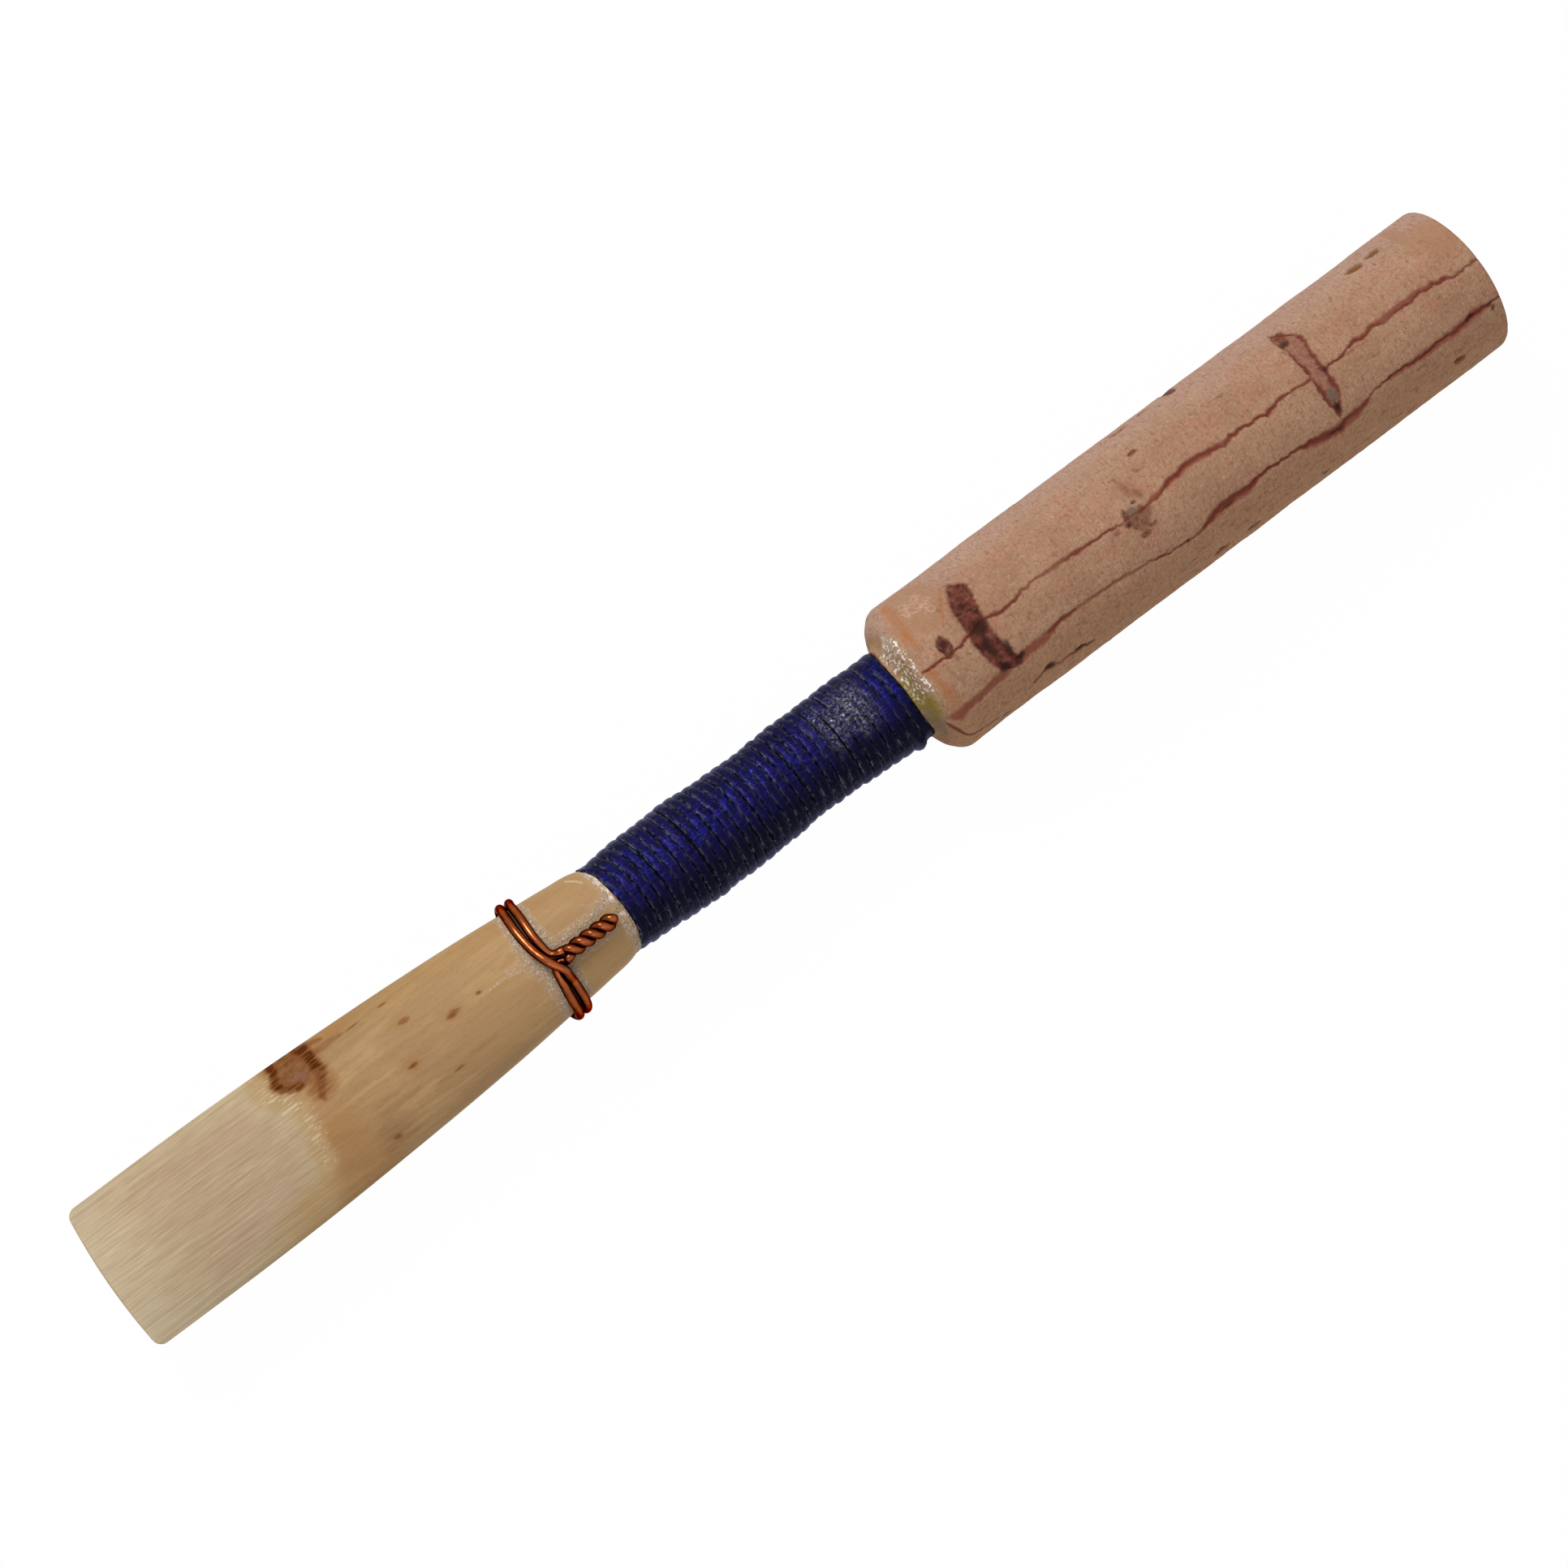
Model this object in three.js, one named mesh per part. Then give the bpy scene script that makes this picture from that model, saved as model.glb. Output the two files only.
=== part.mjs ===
// Oboe reed: two cane blades tied with thread to a corked brass tube, and drawn in by a copper wire.
// Millimetres. +X runs from the tip of the cane to the round end of the tube, +Y lies along the
// width of the tip and +Z faces the front blade. The reed lies on its cork: the origin is below the
// middle of its length, on the surface that it lies on.
// A station is a distance from the tip, measured along the reed.

import * as THREE from 'three';

// Driving dimensions: lengths along the reed
const exposedCane = 26;
const boundCane = 9;
const stapleLength = 47;
const windingLength = 15.7;
const stapleProud = 0.05;
const scrapeLength = 10.7;
const tailLength = 2.45;
const tailClear = 0.42;
const tailLead = 0.76;

// Driving dimensions: the cane
const tipWidth = 6.65;
const throatWidth = 3.98;
const tipOpening = 0.66;
const tipWall = 0.1;
const scrapeEndWall = 0.44;
const caneWall = 0.55;
const tipEdgeWall = 0.08;
const boundEdgeWall = 0.18;
const tailEndWall = 0.05;
const bladeSeam = 0.03;
const tipCornerRadius = 0.45;
const tipCrown = 0.14;
const tipSlant = 0.2;
const scrapeCrown = 1.15;
const scrapeLean = 0.35;

// Driving dimensions: the brass tube, its cork and the two beads
const ovalEndWidth = 3.64;
const ovalEndHeight = 2.74;
const roundEndDiameter = 5.24;
const stapleWall = 0.28;
const ovalLength = 30;
const corkDiameter = 7.2;
const corkShoulder = 0.9;
const corkShoulderDrop = 0.75;
const corkRimBreak = 0.15;
const beadRise = 0.3;
const beadNose = 0.08;
const lacquerLength = 0.16;
const lacquerThickness = 0.1;

// Driving dimensions: thread and wire
const threadDiameter = 0.2;
const threadCoreWall = 0.08;
const threadLoops = 24;
const knotHeight = 0.14;
const knotLength = 0.5;
const wireDiameter = 0.32;
const wireTurnGap = 0.11;
const tailTwists = 2.25;
const tailOffset = 0.39;
const strandGap = 0.05;

// Pieces that bear on each other keep this clearance
const fitGap = 0.04;

const roundSides = 24;
const halfSides = roundSides / 2;
const turn = Math.PI * 2;
const flatsOverCorners = Math.cos(Math.PI / roundSides);

const reedLength = exposedCane + stapleLength;
const corkEnd = reedLength - stapleProud;
const corkStart = exposedCane + windingLength;
const caneEnd = exposedCane + boundCane;
const corkRadius = corkDiameter / 2;
const wireRadius = wireDiameter / 2;
const threadRadius = threadDiameter / 2;

// A smooth curve through sizes, given at shares of a length
function curve(length, shares, sizes) {
  const stations = shares.map((share) => share * length);
  const fit = new THREE.CubicInterpolant(stations, sizes, 1);
  return (station) => fit.evaluate(station)[0];
}

function mix(from, to, share) {
  return from + (to - from) * share;
}

function clampShare(share) {
  return Math.min(1, Math.max(0, share));
}

// The body frame: a station, a sideways place and a height above the reed's axis
function place(station, across, up) {
  return new THREE.Vector3(station - reedLength / 2, across, up + corkRadius);
}

// A closed surface is gathered as points and triangles
class Surface {
  constructor() {
    this.points = [];
    this.triangles = [];
  }

  add(point) {
    return this.points.push(point) - 1;
  }

  addRow(points) {
    return points.map((point) => this.add(point));
  }

  quad(a, b, c, d) {
    this.triangles.push(a, b, c, a, c, d);
  }

  // Quads between two rows of points; a closed row joins its last point to its first
  band(low, high, closed) {
    const count = closed ? low.length : low.length - 1;
    for (let i = 0; i < count; i += 1) {
      const next = (i + 1) % low.length;
      this.quad(low[i], high[i], high[next], low[next]);
    }
  }

  signedVolume() {
    let volume = 0;
    for (let i = 0; i < this.triangles.length; i += 3) {
      const [a, b, c] = this.triangles.slice(i, i + 3).map((index) => this.points[index]);
      volume += a.dot(new THREE.Vector3().crossVectors(b, c)) / 6;
    }
    return volume;
  }

  // The triangles face out of the body whichever way its rows were laid
  geometry() {
    if (this.signedVolume() < 0) {
      this.triangles.reverse();
    }
    const geometry = new THREE.BufferGeometry().setFromPoints(this.points);
    geometry.setIndex(this.triangles);
    geometry.computeVertexNormals();
    return geometry;
  }
}

// A ring around the reed's axis, as a polygon whose flats touch the given ellipse
function polygonRing(station, halfWidth, halfHeight) {
  const ring = [];
  for (let side = 0; side < roundSides; side += 1) {
    const angle = (side + 1 / 2) * turn / roundSides;
    const across = halfWidth * Math.cos(angle) / flatsOverCorners;
    const up = halfHeight * Math.sin(angle) / flatsOverCorners;
    ring.push(place(station, across, up));
  }
  return ring;
}

// A sleeve: a closed outline of stations and half sizes, carried once around the axis
function sleeve(outline) {
  const surface = new Surface();
  const rows = outline.map(([station, size]) => surface.addRow(polygonRing(station, size.width, size.height)));
  rows.forEach((row, i) => surface.band(row, rows[(i + 1) % rows.length], true));
  return surface.geometry();
}

function grown(size, amount) {
  return { width: size.width + amount, height: size.height + amount };
}

// Half sizes of the brass tube outside: a cone that goes from an oval to a round end
function stapleOutside(station) {
  const along = station - exposedCane;
  const endShare = along / stapleLength;
  const mean = mix((ovalEndWidth + ovalEndHeight) / 4, roundEndDiameter / 2, endShare);
  const oval = (ovalEndWidth - ovalEndHeight) / 4 * Math.max(0, 1 - along / ovalLength);
  return { width: mean + oval, height: mean - oval };
}

function stapleInside(station) {
  return grown(stapleOutside(station), -stapleWall);
}

// Half sizes of the space that the blades leave, from the tip's opening to the brass tube
const boreAtThroat = grown(stapleOutside(exposedCane), fitGap);
const boreHeightShares = [0, 0.06, 0.18, 0.43, 0.72, 1];
const boreHeight = curve(
  exposedCane,
  [0, 0.2, 0.42, 0.6, 0.8, 1],
  boreHeightShares.map((share) => mix(tipOpening / 2, boreAtThroat.height, share)),
);

// Half width of the cane from tip to thread
const caneWidthShares = [1, 1, 0.95, 0.86, 0.73, 0.56, 0.4, 0.27, 0.14, 0];
const caneHalfWidth = curve(
  exposedCane,
  [0, 0.25, 0.38, 0.5, 0.64, 0.77, 0.86, 0.93, 0.98, 1],
  caneWidthShares.map((share) => mix(throatWidth / 2, tipWidth / 2, share)),
);

// Walls of the cane where the thread binds it: it is thinned to its end
const boundTopShares = [1, 1, 0.95, 0.7, 0.36, 0];
const boundTopWall = curve(
  boundCane,
  [0, 0.3, 0.5, 0.7, 0.86, 1],
  boundTopShares.map((share) => mix(tailEndWall, caneWall, share)),
);
const boundSideShares = [0.75, 1.1, 1.25, 0.65, 0.25, 0];
const boundSideWall = curve(
  boundCane,
  [0, 0.3, 0.5, 0.7, 0.86, 1],
  boundSideShares.map((share) => mix(tailEndWall, boundEdgeWall, share)),
);

// Half sizes of one blade's two faces, inside and outside, with the height counted from the seam
function bladeSection(station, scraped) {
  if (station >= exposedCane) {
    const along = Math.min(station - exposedCane, boundCane);
    const inside = grown(stapleOutside(station), fitGap);
    const outside = {
      width: inside.width + boundSideWall(along),
      height: inside.height + boundTopWall(along),
    };
    return { inside, outside, roundness: 1 };
  }
  const share = Math.max(0, station) / exposedCane;
  const width = caneHalfWidth(Math.max(0, station));
  const edgeWall = mix(tipEdgeWall, throatWidth / 2 - boreAtThroat.width, share);
  const scrapeShare = clampShare(station / scrapeLength);
  const wall = scraped ? mix(tipWall, scrapeEndWall, scrapeShare) : caneWall;
  const height = boreHeight(Math.max(0, station));
  return {
    inside: { width: width - edgeWall, height },
    outside: { width, height: height + wall },
    roundness: clampShare(share * 1.4),
  };
}

// Half sizes around both blades together, where they are round
function caneOutside(station) {
  const { outside } = bladeSection(station, false);
  return { width: outside.width, height: outside.height + bladeSeam / 2 };
}

// The tip is crowned and cut at a slant, and the scrape ends in a U. The crown's foremost point
// stays at the tip's own station.
const tipForemost = tipSlant / 2 - tipSlant ** 2 / tipCrown / 16;

function stationShift(station, side) {
  const tipFade = Math.max(0, 1 - station / scrapeLength);
  const scrapeFade = station < scrapeLength ? station / scrapeLength : Math.max(0, 2 - station / scrapeLength);
  const tip = tipCrown * side * side + tipSlant * (side + 1) / 2 - tipForemost;
  const scrape = scrapeLean * side - scrapeCrown * side * side;
  return tip * tipFade + scrape * scrapeFade;
}

// A blade's arc goes from a lens at the tip to a half ellipse at the throat
function arcHeight(height, width, across, roundness) {
  const lens = Math.max(0, 1 - (across / width) ** 2);
  return height * lens ** mix(1, 1 / 2, roundness);
}

// The width left by the rounded corners of the tip
function cornerWidth(station) {
  const left = Math.max(0, tipCornerRadius - station);
  return Math.sqrt(tipCornerRadius ** 2 - left ** 2) - tipCornerRadius;
}

// One row across a blade, outside from +Y to -Y and back inside
function bladeRow(station, scraped, facing) {
  const outside = [];
  const inside = [];
  for (let i = 0; i <= halfSides; i += 1) {
    const side = Math.cos(i * Math.PI / halfSides);
    const shifted = station + stationShift(station, side);
    const section = bladeSection(Math.min(shifted, Math.max(station, exposedCane)), scraped);
    const cut = cornerWidth(station);
    const bindStretch = station >= exposedCane ? 1 / flatsOverCorners : 1;
    const outerAcross = side * (section.outside.width + cut);
    const innerAcross = side * (section.inside.width * bindStretch + cut);
    const outerUp = arcHeight(section.outside.height, section.outside.width, outerAcross, section.roundness);
    const innerUp = arcHeight(
      section.inside.height * bindStretch,
      section.inside.width * bindStretch,
      innerAcross,
      section.roundness,
    );
    outside.push(place(shifted, outerAcross, facing * (bladeSeam / 2 + outerUp)));
    inside.push(place(shifted, innerAcross, facing * (bladeSeam / 2 + innerUp)));
  }
  return outside.concat(inside.reverse());
}

// Stations where the cane's shape turns, shared by the cane and by what is wound on it
const cornerStations = [0, 1, 2, 3].map((step) => tipCornerRadius * (1 - Math.cos(step * Math.PI / 6)));
const scrapedShares = [0.16, 0.34, 0.54, 0.76, 1];
const scrapeStations = scrapedShares.map((share) => share * scrapeLength);
const lacquerStart = exposedCane - fitGap - lacquerLength;
const barkShares = [0.02, 0.16, 0.34, 0.5, 0.65, 0.78, 0.88, 0.95];
const barkStations = barkShares.map((share) => mix(scrapeLength, lacquerStart, share));
const boundShares = [0, 0.15, 0.3, 0.5, 0.7, 0.86, 1];
const boundStations = boundShares.map((share) => exposedCane + share * boundCane);

function blade(facing) {
  const surface = new Surface();
  const scraped = cornerStations.concat(scrapeStations).map((station) => bladeRow(station, true, facing));
  const barked = barkStations.concat([lacquerStart], boundStations)
    .map((station) => bladeRow(station, false, facing));
  const rows = scraped.concat(barked).map((row) => surface.addRow(row));
  for (let i = 1; i < rows.length; i += 1) {
    surface.band(rows[i - 1], rows[i], true);
  }
  const first = rows[0];
  const last = rows[rows.length - 1];
  for (let i = 0; i < halfSides; i += 1) {
    const back = first.length - 1 - i;
    surface.quad(first[i], first[i + 1], first[back - 1], first[back]);
    surface.quad(last[i], last[back], last[back - 1], last[i + 1]);
  }
  return surface.geometry();
}

function staple() {
  const stations = [exposedCane, exposedCane + ovalLength / 2, exposedCane + ovalLength, reedLength];
  const outside = stations.map((station) => [station, stapleOutside(station)]);
  const inside = stations.map((station) => [station, stapleInside(station)]);
  return sleeve(outside.concat(inside.reverse()));
}

function round(radius) {
  return { width: radius, height: radius };
}

// The cork has a rounded shoulder towards the thread and a slightly broken rim at its other end
const shoulderShares = [[0, 1], [0.2, 0.56], [0.45, 0.26], [0.65, 0.1], [1, 0]];

function cork() {
  const shoulder = shoulderShares.map(([along, drop]) => [
    corkStart + along * corkShoulder,
    round(corkRadius - drop * corkShoulderDrop),
  ]);
  const rim = [
    [corkEnd - corkRimBreak, round(corkRadius)],
    [corkEnd, round(corkRadius - corkRimBreak)],
  ];
  const ovalEnd = exposedCane + ovalLength;
  const bore = [corkEnd, ovalEnd, corkStart].map((station) => [station, grown(stapleOutside(station), fitGap)]);
  return sleeve(shoulder.concat(rim, bore));
}

// Half sizes of what the thread lies on: cane first, then brass
function underThread(station) {
  return station <= caneEnd ? caneOutside(station) : grown(stapleOutside(station), tailEndWall);
}

const threadStart = exposedCane;
const beadStart = corkStart - beadRise - fitGap;
const threadEnd = beadStart - fitGap;
const threadPitch = (threadEnd - threadStart - 2 * threadDiameter) / threadLoops;

// The knot that ends the thread lies on the -Y side of its last turns
function knotRise(station, angle) {
  const along = (station - (threadEnd - knotLength)) / knotLength;
  const around = (Math.abs(angle) - Math.PI) * corkRadius / 2 / knotLength;
  return knotHeight * Math.exp(-(along ** 2 + around ** 2) * 2);
}

function threadPoint(station, angle, rise) {
  const size = grown(underThread(station), fitGap + threadCoreWall + rise + knotRise(station, angle));
  const across = size.width * Math.cos(angle) / flatsOverCorners;
  const up = size.height * Math.sin(angle) / flatsOverCorners;
  return place(station, across, up);
}

// The thread is one tube, laid in loops on a plain core: a six-sided tube sunk to its middle, so that
// each pitch has the four corners of its upper half
const ridgeCorners = [
  [-threadRadius, 0],
  [-threadRadius / 2, threadRadius * Math.sin(Math.PI / 3)],
  [threadRadius / 2, threadRadius * Math.sin(Math.PI / 3)],
  [threadRadius, 0],
];

function threadAngle(step) {
  const angle = (step + 1 / 2) * turn / roundSides;
  return angle > Math.PI ? angle - turn : angle;
}

function threadStation(loop, step) {
  return threadStart + threadDiameter + threadPitch * (loop + step / roundSides);
}

function threadWinding() {
  const surface = new Surface();
  const lastStep = threadLoops * roundSides;
  const steps = [];
  for (let step = 0; step <= lastStep; step += 1) {
    const free = step === 0 || step === lastStep ? 0 : 1;
    const station = threadStation(0, step);
    const angle = threadAngle(step % roundSides);
    steps.push(surface.addRow(ridgeCorners.map(
      ([along, rise]) => threadPoint(station + along, angle, rise * free),
    )));
  }
  for (let step = 0; step < lastStep; step += 1) {
    surface.band(steps[step], steps[step + 1], false);
  }
  // The core shows between one loop and the next
  for (let step = 0; step < lastStep - roundSides; step += 1) {
    const here = steps[step];
    const ahead = steps[step + 1];
    const nextLoop = steps[step + roundSides];
    const nextAhead = steps[step + roundSides + 1];
    surface.quad(here[3], ahead[3], nextAhead[0], nextLoop[0]);
  }
  // Flat ends of the core, closed to the first and the last loop
  const angles = [...Array(roundSides).keys()].map(threadAngle);
  const front = surface.addRow(angles.map((angle) => threadPoint(threadStart, angle, 0)));
  const rear = surface.addRow(angles.map((angle) => threadPoint(threadEnd, angle, 0)));
  for (let side = 0; side < roundSides; side += 1) {
    const next = (side + 1) % roundSides;
    surface.quad(front[side], front[next], steps[side + 1][0], steps[side][0]);
    const low = lastStep - roundSides + side;
    surface.quad(steps[low][3], steps[low + 1][3], rear[next], rear[side]);
  }
  for (let corner = 0; corner < 3; corner += 1) {
    surface.triangles.push(front[0], steps[0][corner], steps[0][corner + 1]);
    surface.triangles.push(rear[0], steps[lastStep][corner + 1], steps[lastStep][corner]);
  }
  surface.triangles.push(front[0], steps[0][3], steps[roundSides][0]);
  surface.triangles.push(rear[0], steps[lastStep][0], steps[lastStep - roundSides][3]);
  // The bore of the core lies on the cane, and beyond its end on the brass
  const boreStations = boundStations.concat([caneEnd + fitGap, threadEnd]);
  const bore = boreStations.map((station) => {
    const size = grown(underThread(station), fitGap);
    return surface.addRow(polygonRing(station, size.width, size.height));
  });
  for (let i = 1; i < bore.length; i += 1) {
    surface.band(bore[i - 1], bore[i], true);
  }
  surface.band(front, bore[0], true);
  surface.band(bore[bore.length - 1], rear, true);
  return surface.geometry();
}

// Two strands twisted together lie along the front blade, towards the thread
const twistRadius = wireRadius + strandGap / 2;
const tailStart = lacquerStart - tailClear - tailLength;
const wireStation = tailStart - tailLead;

function strandPoint(along, strand) {
  const station = tailStart + along * tailLength;
  const angle = (along * tailTwists + strand / 2) * turn;
  const ground = caneOutside(station).height / flatsOverCorners;
  const axisUp = ground + fitGap + twistRadius + wireRadius;
  const across = -tailOffset + twistRadius * Math.cos(angle);
  return place(station, across, axisUp + twistRadius * Math.sin(angle));
}

// A point of the wire on the cane, lifted by a height above lying flat
function wirePoint(station, angle, lift) {
  const size = grown(caneOutside(station), fitGap + wireRadius);
  const across = (size.width / flatsOverCorners + lift) * Math.cos(angle);
  const up = (size.height / flatsOverCorners + lift) * Math.sin(angle);
  return place(station, across, up);
}

// The wire's way around the cane, twice with one crossing on the front blade: a share of the spacing
// of its turns towards the thread, a share of a turn from +Y over the front blade, and a lift above
// lying flat as a share of the spacing
const wireTurnSpacing = wireDiameter + wireTurnGap;
const wireWayShares = [
  [1.28, 0.259, 0.42], [0.93, 0.254, 0.22], [0.62, 0.233, 0.03], [0.5, 0.208, 0], [0.45, 0.165, 0],
  [0.51, 0.13, 0], [0.77, 0.076, 0], [1, 0.02, 0], [1, -0.05, 0], [0.88, -0.15, 0],
  [0.88, -0.25, 0], [0.88, -0.35, 0], [0.93, -0.45, 0], [0.93, -0.5, 0], [1.15, -0.564, 0],
  [1.07, -0.618, 0], [1.12, -0.65, 0], [1.12, -0.678, 0.3], [1.07, -0.695, 0.8], [1, -0.709, 1.03],
  [0.7, -0.728, 1.02], [0.2, -0.752, 0.85], [-0.26, -0.784, 0.42], [-0.45, -0.808, 0.1], [-0.53, -0.835, 0],
  [-0.56, -0.87, 0], [-0.37, -0.922, 0], [-0.12, -0.974, 0], [-0.07, -1.02, 0], [-0.12, -1.15, 0],
  [-0.12, -1.25, 0], [-0.12, -1.35, 0], [-0.02, -1.45, 0], [0.02, -1.5, 0], [0.02, -1.566, 0],
  [-0.07, -1.618, 0], [-0.02, -1.66, 0], [0.05, -1.69, 0], [0.3, -1.706, 0], [0.8, -1.713, 0.05],
  [1.28, -1.716, 0.3],
];

// One wire: back along the tail, around the cane and out along the tail again
function wirePath() {
  const tailSteps = tailTwists * 8;
  const points = [];
  for (let step = tailSteps; step >= 0; step -= 1) {
    points.push(strandPoint(step / tailSteps, 0));
  }
  for (const [ahead, turns, lift] of wireWayShares) {
    points.push(wirePoint(wireStation + ahead * wireTurnSpacing, turns * turn, lift * wireTurnSpacing));
  }
  for (let step = 0; step <= tailSteps; step += 1) {
    points.push(strandPoint(step / tailSteps, 1));
  }
  const path = new THREE.CatmullRomCurve3(points, false, 'centripetal');
  return path.getPoints(2 * (points.length - 1));
}

// A tube of six sides along a path, closed by flat ends
function bindingWire() {
  const path = wirePath();
  const sides = 6;
  const surface = new Surface();
  const normal = new THREE.Vector3(0, 0, 1);
  const rows = path.map((point, i) => {
    const before = path[Math.max(0, i - 1)];
    const after = path[Math.min(path.length - 1, i + 1)];
    const along = after.clone().sub(before).normalize();
    normal.addScaledVector(along, -normal.dot(along)).normalize();
    const other = new THREE.Vector3().crossVectors(along, normal);
    const ring = [];
    for (let side = 0; side < sides; side += 1) {
      const angle = side * turn / sides;
      ring.push(point.clone()
        .addScaledVector(normal, wireRadius * Math.cos(angle))
        .addScaledVector(other, wireRadius * Math.sin(angle)));
    }
    return surface.addRow(ring);
  });
  for (let i = 1; i < rows.length; i += 1) {
    surface.band(rows[i - 1], rows[i], true);
  }
  const first = rows[0];
  const last = rows[rows.length - 1];
  for (let side = 2; side < sides; side += 1) {
    surface.triangles.push(first[0], first[side - 1], first[side]);
    surface.triangles.push(last[0], last[side], last[side - 1]);
  }
  return surface.geometry();
}

// A bead of glue fills the corner between the thread and the end face of the cork, and climbs
// steeply to the cork only beyond its middle
const bellyShare = 0.25;

function glueBead() {
  const beadEnd = corkStart - fitGap;
  const foot = grown(stapleOutside(beadStart), fitGap);
  const nose = grown(underThread(beadStart), fitGap + threadCoreWall + beadNose);
  const heel = round(corkRadius - corkShoulderDrop);
  const belly = {
    width: mix(nose.width, heel.width, bellyShare),
    height: mix(nose.height, heel.height, bellyShare),
  };
  return sleeve([
    [beadStart, foot],
    [beadStart, nose],
    [mix(beadStart, beadEnd, 1 / 2), belly],
    [beadEnd, heel],
    [beadEnd, grown(stapleOutside(beadEnd), fitGap)],
  ]);
}

// A thin line of lacquer seals the first turn of thread to the cane
function windingLacquer() {
  const lacquerEnd = exposedCane - fitGap;
  const foot = grown(caneOutside(lacquerStart), fitGap);
  const top = grown(caneOutside(lacquerEnd), fitGap);
  return sleeve([
    [lacquerStart, foot],
    [lacquerStart, grown(foot, lacquerThickness / 3)],
    [mix(lacquerStart, lacquerEnd, 1 / 2), grown(foot, lacquerThickness)],
    [lacquerEnd, grown(foot, lacquerThickness)],
    [lacquerEnd, top],
  ]);
}

// Least distance between two stretches of a path that are at least the given way apart along it
function leastGap(path, apart, diameter) {
  let least = Infinity;
  for (let i = 0; i < path.length; i += 1) {
    for (let j = i + apart; j < path.length; j += 1) {
      least = Math.min(least, path[i].distanceTo(path[j]) - diameter);
    }
  }
  return least;
}

function threadCentres() {
  const centres = [];
  for (let step = 0; step <= threadLoops * roundSides; step += 1) {
    centres.push(threadPoint(threadStation(0, step), threadAngle(step % roundSides), 0));
  }
  return centres;
}

const threadGap = leastGap(threadCentres(), halfSides, threadDiameter);
console.log(`thread: ${threadLoops} loops, least gap of the tube to itself ${threadGap.toFixed(3)} mm`);

const wireGap = leastGap(wirePath(), roundSides / 3, wireDiameter);
console.log(`wire: least gap of the wire to itself ${wireGap.toFixed(3)} mm`);

// Materials
const paint = (color, roughness, metalness) => new THREE.MeshStandardMaterial({ color, roughness, metalness });

const pieces = [
  ['staple_tube', staple(), paint(0xc9a860, 0.35, 1)],
  ['cork_sleeve', cork(), paint(0xaa866d, 0.9, 0)],
  ['front_blade', blade(1), paint(0xb09a78, 0.6, 0)],
  ['back_blade', blade(-1), paint(0xa98c64, 0.6, 0)],
  ['thread_winding', threadWinding(), paint(0x19183e, 0.6, 0)],
  ['binding_wire', bindingWire(), paint(0xb06028, 0.3, 1)],
  ['glue_bead', glueBead(), paint(0x9c8563, 0.25, 0)],
  ['winding_lacquer', windingLacquer(), paint(0xc2b8a8, 0.35, 0)],
];

const reed = new THREE.Group();
for (const [name, geometry, material] of pieces) {
  const mesh = new THREE.Mesh(geometry, material);
  mesh.name = name;
  reed.add(mesh);
}

export default reed;
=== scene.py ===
"""Looks of an oboe reed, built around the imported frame.

Places are in millimetres: a station is a distance from the tip along the reed, across is towards +Y
and up is the height above the reed's axis. On the cork a girth is the way around from its front
line, positive towards -Y. Meshes are in metres.
"""

import itertools
import math

import bmesh
import bpy
import numpy as np
from mathutils import Matrix, Vector


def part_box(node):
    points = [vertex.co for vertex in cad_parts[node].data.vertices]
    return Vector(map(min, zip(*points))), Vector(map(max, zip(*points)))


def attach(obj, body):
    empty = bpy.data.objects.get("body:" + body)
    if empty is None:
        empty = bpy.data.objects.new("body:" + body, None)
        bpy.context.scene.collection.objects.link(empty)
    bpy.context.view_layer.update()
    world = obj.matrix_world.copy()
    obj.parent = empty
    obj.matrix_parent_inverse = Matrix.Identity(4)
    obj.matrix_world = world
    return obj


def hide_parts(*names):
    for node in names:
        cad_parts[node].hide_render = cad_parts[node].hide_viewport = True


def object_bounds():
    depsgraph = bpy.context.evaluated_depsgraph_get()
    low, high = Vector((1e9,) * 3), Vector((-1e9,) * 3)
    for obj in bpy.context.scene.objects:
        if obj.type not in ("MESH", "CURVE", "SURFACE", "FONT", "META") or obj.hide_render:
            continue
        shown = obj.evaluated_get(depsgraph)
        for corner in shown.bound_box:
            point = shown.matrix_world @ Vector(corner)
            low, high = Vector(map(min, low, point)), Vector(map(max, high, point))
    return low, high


MM = 0.001
TURN = 2 * math.pi

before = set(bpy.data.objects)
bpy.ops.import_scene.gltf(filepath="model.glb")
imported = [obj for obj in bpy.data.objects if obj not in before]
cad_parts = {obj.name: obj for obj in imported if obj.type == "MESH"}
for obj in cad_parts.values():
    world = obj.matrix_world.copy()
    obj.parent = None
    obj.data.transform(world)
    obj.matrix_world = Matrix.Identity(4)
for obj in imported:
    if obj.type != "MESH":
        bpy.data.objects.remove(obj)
cad_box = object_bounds()

LENGTH = (cad_box[1].x - cad_box[0].x) / MM
AXIS = (cad_box[1].z - cad_box[0].z) / 2 / MM


def span(node):
    """The stations where a CAD node starts and ends."""
    low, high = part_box(node)
    return low.x / MM + LENGTH / 2, high.x / MM + LENGTH / 2


def half_width(node):
    """Half the width of a CAD node."""
    low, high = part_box(node)
    return (high.y - low.y) / 2 / MM


# Sizes that the frame gives
STAPLE_START, STAPLE_END = span("staple_tube")
CORK_START, CORK_END = span("cork_sleeve")
THREAD_START, THREAD_END = span("thread_winding")
LACQUER_START, LACQUER_END = span("winding_lacquer")
CANE_END = span("front_blade")[1]
TIP_HALF_WIDTH = half_width("front_blade")
CORK_RADIUS = AXIS

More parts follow.
